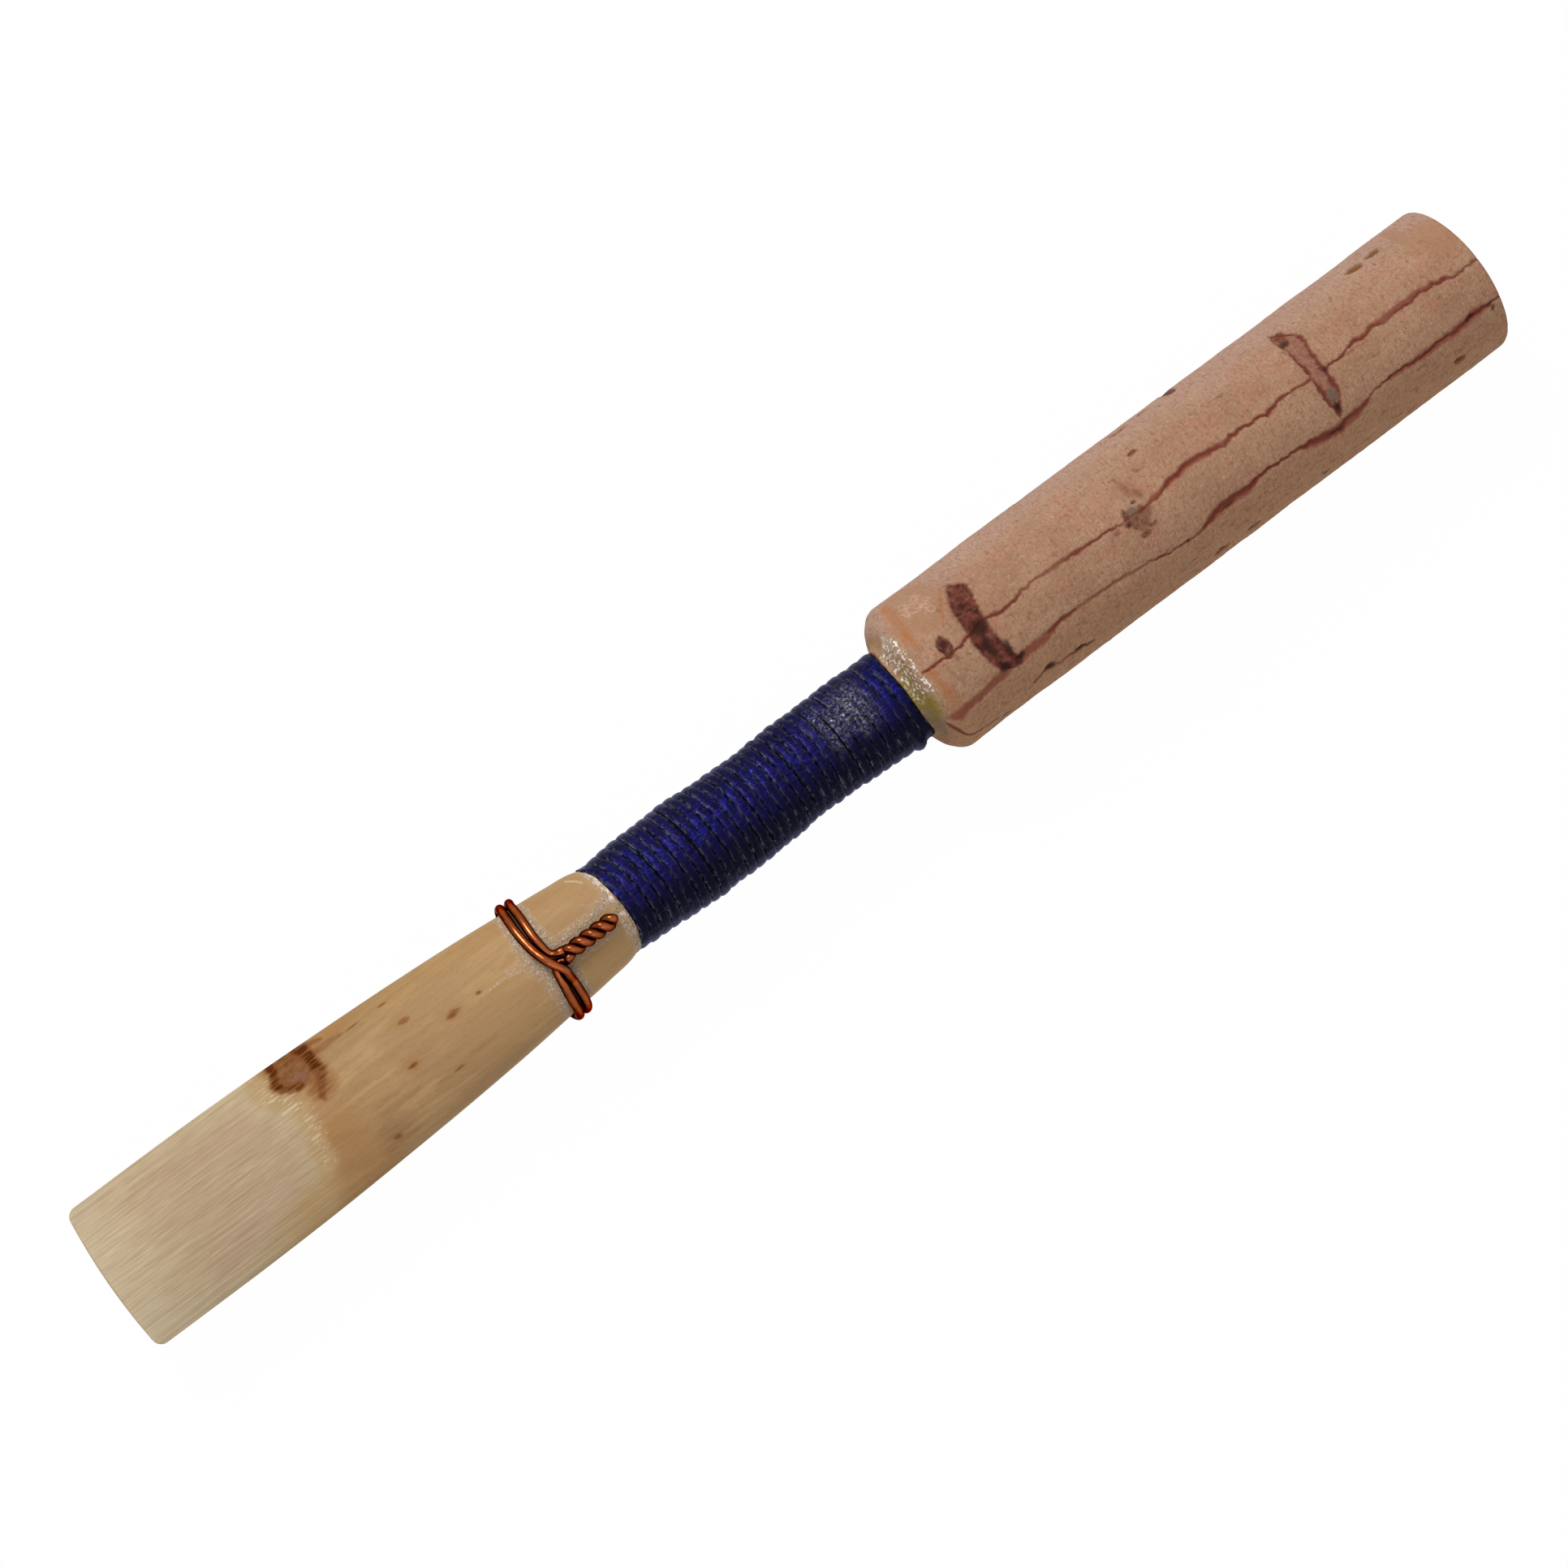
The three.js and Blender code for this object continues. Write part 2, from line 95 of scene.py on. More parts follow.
# Sizes of the cane, as the CAD source has them
THROAT_HALF_WIDTH = 1.99
TIP_OPENING = 0.66
TIP_WALL = 0.1
SCRAPE_END_WALL = 0.44
CANE_WALL = 0.55
TIP_EDGE_WALL = 0.08
BOUND_EDGE_WALL = 0.18
TAIL_END_WALL = 0.05
SEAM = 0.03
TIP_CORNER = 0.45
TIP_CROWN = 0.14
TIP_SLANT = 0.2

# Sizes of the brass tube
OVAL_WIDTH = 3.64
OVAL_HEIGHT = 2.74
ROUND_DIAMETER = 5.24
STAPLE_WALL = 0.28
OVAL_LENGTH = 30
FIT = 0.04


# Numbers and noise

LATTICE = 48
FRACTAL_REACH = 1.5


def mix(low, high, share):
    return low + (high - low) * share


def clamp(value, low=0.0, high=1.0):
    return np.minimum(high, np.maximum(low, value))


def smooth(value, low=0.0, high=1.0):
    """0 below low, 1 above high and an S-curve between them."""
    share = clamp((value - low) / (high - low))
    return share * share * (3 - 2 * share)


def spline(knots, values, at):
    """A smooth curve through the values at the knots."""
    knots = np.asarray(knots, float)
    values = np.asarray(values, float)
    slopes = np.gradient(values, knots, axis=0)
    at = np.clip(at, knots[0], knots[-1])
    cell = np.clip(np.searchsorted(knots, at, side="right") - 1, 0, len(knots) - 2)
    width = knots[cell + 1] - knots[cell]
    share = (at - knots[cell]) / width
    if values.ndim > 1:
        share = share[..., None]
        width = width[..., None]
    left = 1 - share
    bend = (left * slopes[cell] - share * slopes[cell + 1]) * width * share * left
    return mix(values[cell], values[cell + 1], smooth(share)) + bend


def noise(seed, *places):
    """Smooth noise from -1 to 1, at places counted in cells. Each call has a seed of its own."""
    lattice = np.random.default_rng(seed).uniform(-1, 1, (LATTICE,) * 3)
    places = list(np.broadcast_arrays(*places)) + [np.zeros(1)] * (3 - len(places))
    cells = [np.floor(place).astype(int) for place in places]
    shares = [smooth(place - cell) for place, cell in zip(places, cells)]
    total = 0
    for corner in itertools.product((0, 1), repeat=3):
        weight = 1
        index = []
        for cell, share, side in zip(cells, shares, corner):
            weight = weight * (share if side else 1 - share)
            index.append((cell + side) % LATTICE)
        total = total + weight * lattice[tuple(np.broadcast_arrays(*index))]
    return total


def fractal(seed, octaves, *places):
    """Noise with finer noise on it, about -1 to 1."""
    total = 0
    for octave in range(octaves):
        fine = 2 ** octave
        total = total + noise(seed + octave, *[place * fine for place in places]) / fine
    return total / FRACTAL_REACH


def near_lines(along, across, lines, widen=1):
    """1 on lines of (along, across, half width) points, falling evenly to 0 at their half width."""
    near = 0
    for line in lines:
        for (a0, c0, w0), (a1, c1, w1) in itertools.pairwise(line):
            way = (a1 - a0) ** 2 + (c1 - c0) ** 2
            share = clamp(((along - a0) * (a1 - a0) + (across - c0) * (c1 - c0)) / way)
            far = np.hypot(along - mix(a0, a1, share), across - mix(c0, c1, share))
            near = np.maximum(near, 1 - far / mix(w0, w1, share) / widen)
    return near


def near_spots(along, across, spots):
    """1 in the middle of spots (along, across, half length, half width), falling to 0 at their rim."""
    near = 0
    for middle, aside, length, width in spots:
        near = np.maximum(near, 1 - ((along - middle) / length) ** 2 - ((across - aside) / width) ** 2)
    return near


def most(*masks):
    return np.maximum.reduce(masks)


# Meshes

DOME_STEPS = 3


def place(station, across, up):
    """Points of the row frame, in metres."""
    station, across, up = np.broadcast_arrays(station, across, up)
    return np.stack([station - LENGTH / 2, across, up + AXIS], axis=-1) * MM


def circle(count):
    """Angles of a number of columns around the reed, from +Y over the front."""
    return (np.arange(count) * TURN / count)[None, :]


def hoop(station, width, height, angle):
    """Points around the reed's axis."""
    return place(station, width * np.cos(angle), height * np.sin(angle))


def grid_faces(rows, columns, ring=False, start=0):
    """Quads of a grid of points, joined across its columns and, in a ring, from last row to first."""
    index = start + np.arange(rows * columns).reshape(rows, columns)
    index = np.concatenate([index, index[:, :1]], axis=1)
    if ring:
        index = np.concatenate([index, index[:1]])
    corners = [index[:-1, :-1], index[1:, :-1], index[1:, 1:], index[:-1, 1:]]
    return np.stack(corners, axis=-1).reshape(-1, 4).tolist()


def shell(*sheets, start=0):
    """Points and faces of a closed skin made of sheets that go around, the last joined to the first."""
    points = np.concatenate(sheets)
    return points, grid_faces(*points.shape[:2], ring=True, start=start)


def add_object(name, data):
    thing = bpy.data.objects.new(name, data)
    bpy.context.scene.collection.objects.link(thing)
    return thing


def make_piece(name, points, faces, material, node, slot, masks):
    """A mesh of the object: it stands for a CAD node and takes its finish from a material; the slot
    argument is not used.
    """
    mesh = bpy.data.meshes.new(name)
    mesh.from_pydata(points.reshape(-1, 3).tolist(), [], faces)
    for mask, values in masks.items():
        attribute = mesh.attributes.new(mask, "FLOAT", "POINT")
        attribute.data.foreach_set("value", np.ravel(values).astype(np.float32))
    work = bmesh.new()
    work.from_mesh(mesh)
    if work.calc_volume(signed=True) < 0:
        bmesh.ops.reverse_faces(work, faces=work.faces)
        work.to_mesh(mesh)
    work.free()
    mesh.shade_smooth()
    mesh.materials.append(material)
    piece = add_object(name, mesh)
    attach(piece, "root")
    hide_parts(node)


def tube(path, radius, sides):
    """Points and faces of a round tube along a path, closed by domed ends."""
    along = np.gradient(path, axis=0)
    along /= np.linalg.norm(along, axis=1, keepdims=True)
    normal = np.array([0.0, 0.3, 1.0])
    angles = circle(sides)[0]
    rings = []
    for way in along:
        normal = normal - way * (normal @ way)
        normal /= np.linalg.norm(normal)
        rings.append(np.outer(np.cos(angles), normal) + np.outer(np.sin(angles), np.cross(way, normal)))
    rings = np.array(rings) * radius
    turns = (np.arange(DOME_STEPS) + 1 / 2) * TURN / 4 / DOME_STEPS

    def dome(end, out):
        return [path[end] + out * radius * math.cos(turn) + rings[end] * math.sin(turn) for turn in turns]

    rows = np.array([*dome(0, -along[0]), *(path[:, None, :] + rings), *dome(-1, along[-1])[::-1]])
    points = rows.reshape(-1, 3)
    caps = [list(range(sides)), list(range(len(points) - sides, len(points)))]
    return points, grid_faces(len(rows), sides) + caps


# Shapes that the pieces share

def staple_size(station):
    """Half width and half height of the brass tube outside."""
    along = station - STAPLE_START
    mean = mix((OVAL_WIDTH + OVAL_HEIGHT) / 4, ROUND_DIAMETER / 2, along / (STAPLE_END - STAPLE_START))
    oval = (OVAL_WIDTH - OVAL_HEIGHT) / 4 * np.maximum(0, 1 - along / OVAL_LENGTH)
    return mean + oval, mean - oval


THROAT_BORE = [size + FIT for size in staple_size(STAPLE_START)]


def bore_height(station):
    shares = np.array([0, 0.06, 0.18, 0.43, 0.72, 1])
    knots = np.array([0, 0.2, 0.42, 0.6, 0.8, 1]) * STAPLE_START
    return spline(knots, mix(TIP_OPENING / 2, THROAT_BORE[1], shares), station)


def cane_half_width(station):
    shares = np.array([1, 1, 0.95, 0.86, 0.73, 0.56, 0.4, 0.27, 0.14, 0])
    knots = np.array([0, 0.25, 0.38, 0.5, 0.64, 0.77, 0.86, 0.93, 0.98, 1]) * STAPLE_START
    return spline(knots, mix(THROAT_HALF_WIDTH, TIP_HALF_WIDTH, shares), station)


def bound_walls(station):
    """Walls of the bound cane at its side and at its top."""
    along = (station - STAPLE_START) / (CANE_END - STAPLE_START)
    knots = [0, 0.3, 0.5, 0.7, 0.86, 1]
    side = mix(TAIL_END_WALL, BOUND_EDGE_WALL, np.array([0.75, 1.1, 1.25, 0.65, 0.25, 0]))
    top = mix(TAIL_END_WALL, CANE_WALL, np.array([1, 1, 0.95, 0.7, 0.36, 0]))
    return spline(knots, side, along), spline(knots, top, along)


def cane_size(station):
    """Half width and half height of both blades together."""
    station = np.asarray(station, float)
    free = station < STAPLE_START
    width, height = staple_size(np.maximum(station, STAPLE_START))
    side, top = bound_walls(np.maximum(station, STAPLE_START))
    return (
        np.where(free, cane_half_width(station), width + FIT + side),
        np.where(free, bore_height(station) + CANE_WALL, height + FIT + top) + SEAM / 2,
    )


def under_thread(station):
    """Half width and half height of what the thread lies on: cane, then brass."""
    sizes = zip(cane_size(np.minimum(station, CANE_END)), staple_size(station))
    return [np.where(station <= CANE_END, cane, brass + TAIL_END_WALL) for cane, brass in sizes]


# Materials

WHITE = (1, 1, 1, 1)


def srgb(red, green, blue):
    """A colour as 0 to 255 shades, made linear."""
    shades = np.array([red, green, blue]) / 255
    linear = np.where(shades <= 0.04045, shades / 12.92, ((shades + 0.055) / 1.055) ** 2.4)
    return (*linear.tolist(), 1.0)


def feed(tree, node, inputs):
    """Links or fills the inputs of a node."""
    for name, value in inputs.items():
        if isinstance(value, bpy.types.NodeSocket):
            tree.links.new(value, node.inputs[name])
        else:
            node.inputs[name].default_value = value


def add_node(tree, kind, output, inputs, **settings):
    """An output of a new shader node."""
    node = tree.nodes.new("ShaderNode" + kind)
    for name, value in settings.items():
        setattr(node, name, value)
    feed(tree, node, inputs)
    return node.outputs[output]


class Paint:
    """A node material with a Principled shader, and one short call for each kind of node."""

    def __init__(self, name, **constants):
        self.material = bpy.data.materials.new(name)
        self.material.use_nodes = True
        self.coordinates = self.node("TexCoord", "Object", {})
        self.shade(constants)

    def node(self, kind, output, inputs, **settings):
        return add_node(self.material.node_tree, kind, output, inputs, **settings)

    def shade(self, sockets):
        """Feeds the shader's sockets, named with a _ for each space."""
        tree = self.material.node_tree
        named = {name.replace("_", " "): value for name, value in sockets.items()}
        feed(tree, tree.nodes["Principled BSDF"], named)

    def noise(self, size, detail=3.0, roughness=0.5):
        """Noise with cells of a size in millimetres, or of three sizes."""
        scale = 1 / (np.ones(3) * size * MM)
        cells = self.node("Mapping", "Vector", {"Vector": self.coordinates, "Scale": scale})
        looks = {"Scale": 1.0, "Detail": detail, "Roughness": roughness}
        return self.node("TexNoise", "Fac", {"Vector": cells} | looks)

    def share(self, value, low, high, top=1.0, bottom=0.0):
        """Goes smoothly from bottom to top as a value goes from low to high."""
        ends = {"From Min": low, "From Max": high, "To Min": bottom, "To Max": top}
        return self.node("MapRange", "Result", {"Value": value} | ends, interpolation_type="SMOOTHSTEP")

    def times(self, first, second, operation="MULTIPLY"):
        return self.node("Math", 0, {0: first, 1: second}, operation=operation)

    def mask(self, name, strength=1.0):
        return self.times(self.node("Attribute", "Fac", {}, attribute_name=name), strength)

    def coats(self, colour, *coats):
        """A colour with coats over it, each a share and a colour."""
        for share, over in coats:
            colour = self.node("Mix", 2, {0: share, 6: colour, 7: over}, data_type="RGBA")
        return colour

    def finish(self, colour, roughness, *bumps, **sockets):
        """The material, with bumps that are each a height from 0 to 1 and its depth in millimetres."""
        below = {}
        for height, depth in bumps:
            normal = self.node("Bump", "Normal", {"Height": height, "Distance": depth * MM} | below)
            below = {"Normal": normal}
        self.shade({"Base_Color": colour, "Roughness": roughness} | below | sockets)
        return self.material


def cane_material():
    """Pale cane: scraped wood with fine lines at the tip, and smooth bark behind the scrape."""
    paint = Paint("cane", Subsurface_Weight=0.06, Subsurface_Scale=0.4 * MM,
                  Subsurface_Radius=(1.0, 0.6, 0.35))
    mask, share = paint.mask, paint.share
    scraped = mask("scraped")
    long_grain = paint.noise((9.0, 0.2, 0.2), 2.0)
    bark = paint.coats(
        srgb(177, 143, 101),
        (share(long_grain, 0.36, 0.64), srgb(166, 131, 91)),
        (share(paint.noise((4.0, 1.4, 1.4), 2.0), 0.42, 0.6, 0.7), srgb(160, 126, 89)),
        (share(paint.noise((0.3, 0.09, 0.09), 2.0), 0.52, 0.7, 0.3), srgb(140, 104, 64)),
        # Darker and yellower towards +Y: painted shade, with a yellower tone of the bark
        (mask("flank_shade", 0.35), srgb(142, 112, 58)),
    )
    lines = paint.noise((10.0, 0.12, 0.12), 1.0)
    hairs = paint.noise((4.5, 0.055, 0.055), 1.0)
    wood = paint.coats(
        srgb(184, 164, 132),
        (share(paint.noise((1.6, 0.9, 0.9)), 0.4, 0.7), srgb(175, 155, 122)),
        (mask("heart", 0.7), srgb(177, 149, 123)),
        (mask("tip", 0.8), srgb(196, 178, 149)),
        (share(lines, 0.5, 0.32, 0.28), srgb(152, 126, 96)),
        (share(lines, 0.56, 0.72, 0.22), srgb(204, 182, 152)),
        (share(hairs, 0.42, 0.32, 0.25), srgb(150, 124, 94)),
        (share(hairs, 0.6, 0.72, 0.32), srgb(216, 195, 166)),
    )
    fray = paint.times(mask("fray"), share(paint.noise((1.2, 0.06, 0.06), 1.0), 0.62, 0.68))
    hairlines = paint.times(fray, mask("hair"), "MAXIMUM")
    mottle = share(paint.noise((0.4, 0.25, 0.25), 4.0, 0.65), 0.3, 0.7)
    stain = paint.times(mask("stain"), share(paint.noise((0.8, 0.12, 0.12)), 0.34, 0.64, 1.15, 0.62))
    crumbs = paint.times(mask("dust", 0.75), share(paint.noise(0.11, 3.0, 0.7), 0.46, 0.6))
    colour = paint.coats(
        bark,
        (scraped, wood),
        # The yellow band at the end of the scrape, crossed by pale hairlines
        (mask("band", 0.7), srgb(171, 138, 91)),
        (paint.times(hairlines, 0.6), srgb(222, 200, 165)),
        # Glue haze; behind the wire, on the lower side, partly painted light that lightens the shade
        (mask("glaze_and_painted_light"), srgb(186, 149, 101)),
        # Stains, and between the wire's strands painted shade with some grime
        (mask("orange"), srgb(158, 110, 58)),
        (mask("knot"), paint.coats(srgb(92, 52, 18), (mottle, srgb(136, 88, 42)))),
        (mask("mauve"), srgb(122, 84, 70)),
        (share(stain, 0.0, 0.5, 0.85), srgb(122, 74, 38)),
        (share(stain, 0.42, 1.05, 0.95), srgb(80, 38, 12)),
        (mask("grey"), srgb(130, 98, 68)),
        # Painted shade, with some grime, on the cane between the wire's strands
        (mask("grime_and_shade"), srgb(66, 24, 12)),
        # Pale dried glue
        (mask("dust", 0.55), srgb(184, 156, 128)),
        (crumbs, srgb(228, 208, 190)),
    )
    bumps = (paint.times(lines, scraped), 0.03), (long_grain, 0.01), (crumbs, 0.04)
    gloss = share(stain, 0.1, 0.8, 0.0, 0.1)
    return paint.finish(colour, share(scraped, 0.0, 1.0, 0.7, 0.5), *bumps, Specular_IOR_Level=gloss)


def thread_material():
    """Navy nylon thread under clear lacquer, with painted shade in the creases between its turns and
    painted glints on them.
    """
    paint = Paint("navy_thread", Metallic=0.5, Specular_IOR_Level=0.05, Specular_Tint=srgb(84, 84, 205),
                  Coat_Roughness=0.2, Coat_IOR=1.3, Coat_Weight=0.06)
    mask, share = paint.mask, paint.share
    fibres = paint.noise((0.5, 0.07, 0.07), 3.0, 0.6)
    glint = paint.times(share(fibres, 0.48, 0.66), share(mask("glint"), 0.0, 1.0, 1.0, 0.3))
    film_and_glint = share(paint.noise((0.12, 0.3, 0.3), 4.0, 0.7), 0.46, 0.62)
    crust = paint.times(mask("crust"), share(paint.noise(0.13, 5.0, 0.75), 0.42, 0.6))
    colour = paint.coats(
        srgb(17, 15, 40),
        (share(paint.noise((1.6, 0.8, 0.8)), 0.35, 0.65), srgb(19, 17, 58)),
        (paint.times(glint, 0.7), srgb(31, 32, 138)),
        (mask("shade", 0.9), srgb(11, 10, 22)),
        # Painted shade in the creases between the turns, and on all of the layer below
        (mask("valley_shade"), srgb(5, 4, 13)),
        # Greyish lacquer film, partly painted glints, along the flanks of the turns
        (paint.times(mask("film_and_glint"), film_and_glint), srgb(108, 107, 116)),
        (crust, srgb(140, 138, 150)),
    )
    rough = share(paint.noise(0.25), 0.35, 0.65, 0.34, 0.14)
    return paint.finish(colour, rough, (fibres, 0.03), (paint.noise(0.35), 0.1), (crust, 0.05))


def copper_material():
    """Drawn copper wire, with painted shade on its flanks and underside and a painted highlight on its
    crest.
    """
    paint = Paint("copper", Metallic=1.0, Specular_Tint=srgb(150, 84, 56))
    drawn = paint.noise((0.25, 0.08, 0.08))
    tarnish = paint.noise(0.55, 4.0, 0.6)
    colour = paint.coats(
        srgb(132, 65, 33),
        (paint.share(tarnish, 0.35, 0.7), srgb(96, 43, 21)),
        (paint.share(drawn, 0.5, 0.75, 0.5), srgb(88, 38, 18)),
        # Painted shade on the wire's flanks and underside
        (paint.mask("painted_shade"), srgb(52, 18, 8)),
        # Painted highlight along the wire's crest
        (paint.mask("painted_highlight"), srgb(172, 94, 56)),
    )
    return paint.finish(colour, paint.share(tarnish, 0.3, 0.7, 0.28, 0.15), (drawn, 0.006))


def cork_material():
    """Natural cork: fine grain with growth cracks, pores and a glue stain."""
    paint = Paint("cork", Specular_IOR_Level=0.12, Subsurface_Weight=0.05, Subsurface_Scale=0.3 * MM)
    mask, share = paint.mask, paint.share
    grain = paint.noise(0.16, 4.0, 0.7)
    flecks = share(grain, 0.4, 0.6)
    ticks = paint.noise((0.09, 0.45, 0.45))
    wrinkles = share(paint.noise((0.7, 0.16, 0.16)), 0.55, 0.7)
    worn = share(paint.noise((0.3, 0.2, 0.2)), 0.25, 0.75, 1.15, 0.75)
    mottle = share(paint.noise((0.35, 0.8, 0.8), 5.0, 0.6), 0.36, 0.66)
    sparkle = share(paint.noise(0.1), 0.55, 0.66)
    colour = paint.coats(
        srgb(173, 135, 107),
        (share(paint.noise((2.4, 1.5, 1.5), 4.0, 0.55), 0.35, 0.68), srgb(161, 123, 96)),
        (share(paint.noise((1.1, 0.6, 0.6)), 0.48, 0.7, 0.65), srgb(172, 120, 98)),
        # Lighter and greyer towards the upper side, more yellow towards the lower side
        (mask("upper", 0.6), srgb(176, 147, 132)),
        (mask("lower", 0.6), srgb(180, 134, 98)),
        (share(grain, 0.5, 0.68, 0.55), srgb(132, 96, 74)),
        (share(grain, 0.44, 0.32, 0.5), srgb(196, 162, 136)),
        (share(paint.noise(0.07, 2.0), 0.56, 0.7, 0.45), srgb(126, 88, 68)),
        (share(ticks, 0.54, 0.72, 0.55), srgb(140, 92, 72)),
        (paint.times(mask("lower", 0.55), wrinkles), srgb(122, 86, 60)),
        (mask("cut"), srgb(176, 138, 104)),
        # Colours of the marks
        (mask("halo", 0.35), srgb(156, 108, 88)),
        (mask("stain", 0.6), srgb(162, 120, 90)),
        (mask("orange", 0.75), srgb(164, 101, 56)),
        (mask("bubbles", 0.6), srgb(204, 176, 154)),
        (mask("plug"), paint.coats(srgb(154, 107, 88), (flecks, srgb(136, 90, 74)))),
        (mask("band", 0.85), srgb(130, 68, 54)),
        (mask("grey", 0.8), srgb(110, 90, 78)),
        (mask("brown"), paint.coats(srgb(126, 80, 55), (flecks, srgb(92, 54, 36)))),
        (paint.times(mask("bar"), worn), paint.coats(srgb(70, 30, 25), (mottle, srgb(116, 59, 48)))),
        (mask("crack"), srgb(110, 49, 38)),
        (mask("pit"), srgb(126, 82, 44)),
        (mask("dark"), srgb(48, 26, 20)),
        # Glue glaze on the shoulder, with painted glints (sparkle) on it
        (mask("glaze_and_painted_light", 0.4), srgb(170, 144, 110)),
        (paint.times(mask("glaze_and_painted_light", 0.4), sparkle), srgb(208, 188, 164)),
    )
    return paint.finish(colour, share(mask("glaze_and_painted_light"), 0.0, 0.8, 0.4, 0.88), (grain, 0.06), (ticks, 0.03))


def brass_material():
    """Drawn brass tube with fine rings and a dull bore."""
    paint = Paint("brass", Metallic=1.0)
    rings = paint.noise((0.03, 4.0, 4.0), 2.0)
    tarnish = paint.noise(1.2, 4.0, 0.6)
    colour = paint.coats(srgb(222, 190, 120), (paint.share(tarnish, 0.4, 0.7), srgb(178, 140, 80)))
    return paint.finish(colour, paint.share(tarnish, 0.3, 0.7, 0.4, 0.22), (rings, 0.004))


def glue_material():
    """Clear glue full of bubbles, yellow-green where it is thick and cork-coloured where it is thin, with
    white specks where it is glossy that are partly dried glue and partly painted glints.
    """
    paint = Paint("glue", Coat_Roughness=0.1)
    mask, share = paint.mask, paint.share
    wet = mask("crumbs")
    crumbs = share(paint.noise((0.12, 0.16, 0.16), 3.0, 0.6), 0.53, 0.6)
    colour = paint.coats(
        srgb(166, 132, 102),
        (mask("green"), srgb(140, 120, 58)),
        (share(paint.noise(0.22, 4.0, 0.65), 0.5, 0.66, 0.55), srgb(118, 92, 58)),
        (mask("dull"), srgb(132, 112, 96)),
        # White specks, partly dried glue and partly painted glints
        (paint.times(crumbs, mask("crumbs", 0.95)), srgb(236, 228, 220)),
    )
    rough = share(wet, 0.0, 0.6, 0.2, 0.7)
    bubbles = paint.noise(0.14, 3.0, 0.6)
    return paint.finish(colour, rough, (bubbles, 0.1), Specular_IOR_Level=share(wet, 0.0, 0.8, 0.3, 0.02),
                        Coat_Weight=share(wet, 0.0, 0.8, 0.12))


def lacquer_material():
    """Dried lacquer: clear brown where it is whole, pale where it has crumbled."""
    paint = Paint("dried_lacquer", Specular_IOR_Level=0.6, Subsurface_Weight=0.2, Subsurface_Scale=0.2 * MM)
    clots = paint.noise(0.1, 3.0, 0.6)
    pale = paint.coats(srgb(226, 210, 198), (paint.share(clots, 0.35, 0.65), srgb(176, 152, 130)))
    colour = paint.coats(srgb(156, 124, 86), (paint.mask("pale"), pale))
    return paint.finish(colour, paint.share(clots, 0.3, 0.7, 0.6, 0.25), (clots, 0.02))


# Camera

VIEW_TILT = math.radians(13.13)
VIEW_ROLL = math.radians(36.75)
VIEW_DISTANCE = 216
VIEW_AIM = (-1.4, -0.143, AXIS)
FOCAL_PIXELS = 6300
FRAME_PIXELS = 1932
SENSOR = 36


def make_camera():
    """The camera looks down on the front blade, rolled so that the tip lies at the lower left."""
    flat = Vector((math.cos(VIEW_TILT), 0, math.sin(VIEW_TILT)))
    side = Vector((0, 1, 0))
    back = Vector((-math.sin(VIEW_TILT), 0, math.cos(VIEW_TILT)))
    right = flat * math.cos(VIEW_ROLL) - side * math.sin(VIEW_ROLL)
    up = flat * math.sin(VIEW_ROLL) + side * math.cos(VIEW_ROLL)
    data = bpy.data.cameras.new("camera")
    data.sensor_width = SENSOR
    data.lens = FOCAL_PIXELS / FRAME_PIXELS * SENSOR
    data.clip_start = 0.01
    data.clip_end = 10
    camera = add_object("camera", data)
    turn = Matrix((right, up, back)).transposed().to_4x4()
    camera.matrix_world = Matrix.Translation((Vector(VIEW_AIM) + back * VIEW_DISTANCE) * MM) @ turn
    bpy.context.scene.camera = camera


# Floor and light, with places and sizes in metres

FLOOR_SIZE = 3.0
FLOOR_GLOW = 0.985
FLOOR_GREY = (0.86, 0.86, 0.86, 1)
SKY_STRENGTH = 0.45
# Name, place, size and power
LAMPS = [("key", (-0.10, 0.42, 0.45), 0.2, 2.7), ("fill", (-0.35, -0.25, 0.5), 0.4, 0.55)]


def seen_share(tree):
    """1 for a ray from the camera, from a gloss or through glass, else 0."""
    path = tree.nodes.new("ShaderNodeLightPath")
    total = path.outputs["Is Camera Ray"]
    for kind in ("Is Glossy Ray", "Is Transmission Ray"):
        total = add_node(tree, "Math", 0, {0: total, 1: path.outputs[kind]}, operation="MAXIMUM")
    return total


def make_floor():
    """A plain pale floor. Seen directly it is near white, and it keeps a soft share of the shadow."""
    mesh = bpy.data.meshes.new("floor")
    half = FLOOR_SIZE / 2
    corners = [(-half, -half, 0), (half, -half, 0), (half, half, 0), (-half, half, 0)]
    mesh.from_pydata(corners, [], [(0, 1, 2, 3)])
    floor = add_object("floor", mesh)
    material = bpy.data.materials.new("pale_floor")
    material.use_nodes = True
    tree = material.node_tree
    tree.nodes.clear()
    diffuse = add_node(tree, "BsdfDiffuse", 0, {"Color": FLOOR_GREY})
    glow = add_node(tree, "Emission", 0, {"Color": WHITE})
    share = add_node(tree, "Math", 0, {0: seen_share(tree), 1: FLOOR_GLOW}, operation="MULTIPLY")
    both = add_node(tree, "MixShader", 0, {0: share, 1: diffuse, 2: glow})
    feed(tree, tree.nodes.new("ShaderNodeOutputMaterial"), {"Surface": both})
    mesh.materials.append(material)


def make_sky():
    """Even soft light from all around, and white where it is seen."""
    world = bpy.data.worlds.new("sky")
    bpy.context.scene.world = world
    world.use_nodes = True
    tree = world.node_tree
    ends = {"Value": seen_share(tree), "To Min": SKY_STRENGTH, "To Max": 1.0}
    strength = add_node(tree, "MapRange", "Result", ends)
    feed(tree, tree.nodes["Background"], {"Color": WHITE, "Strength": strength})


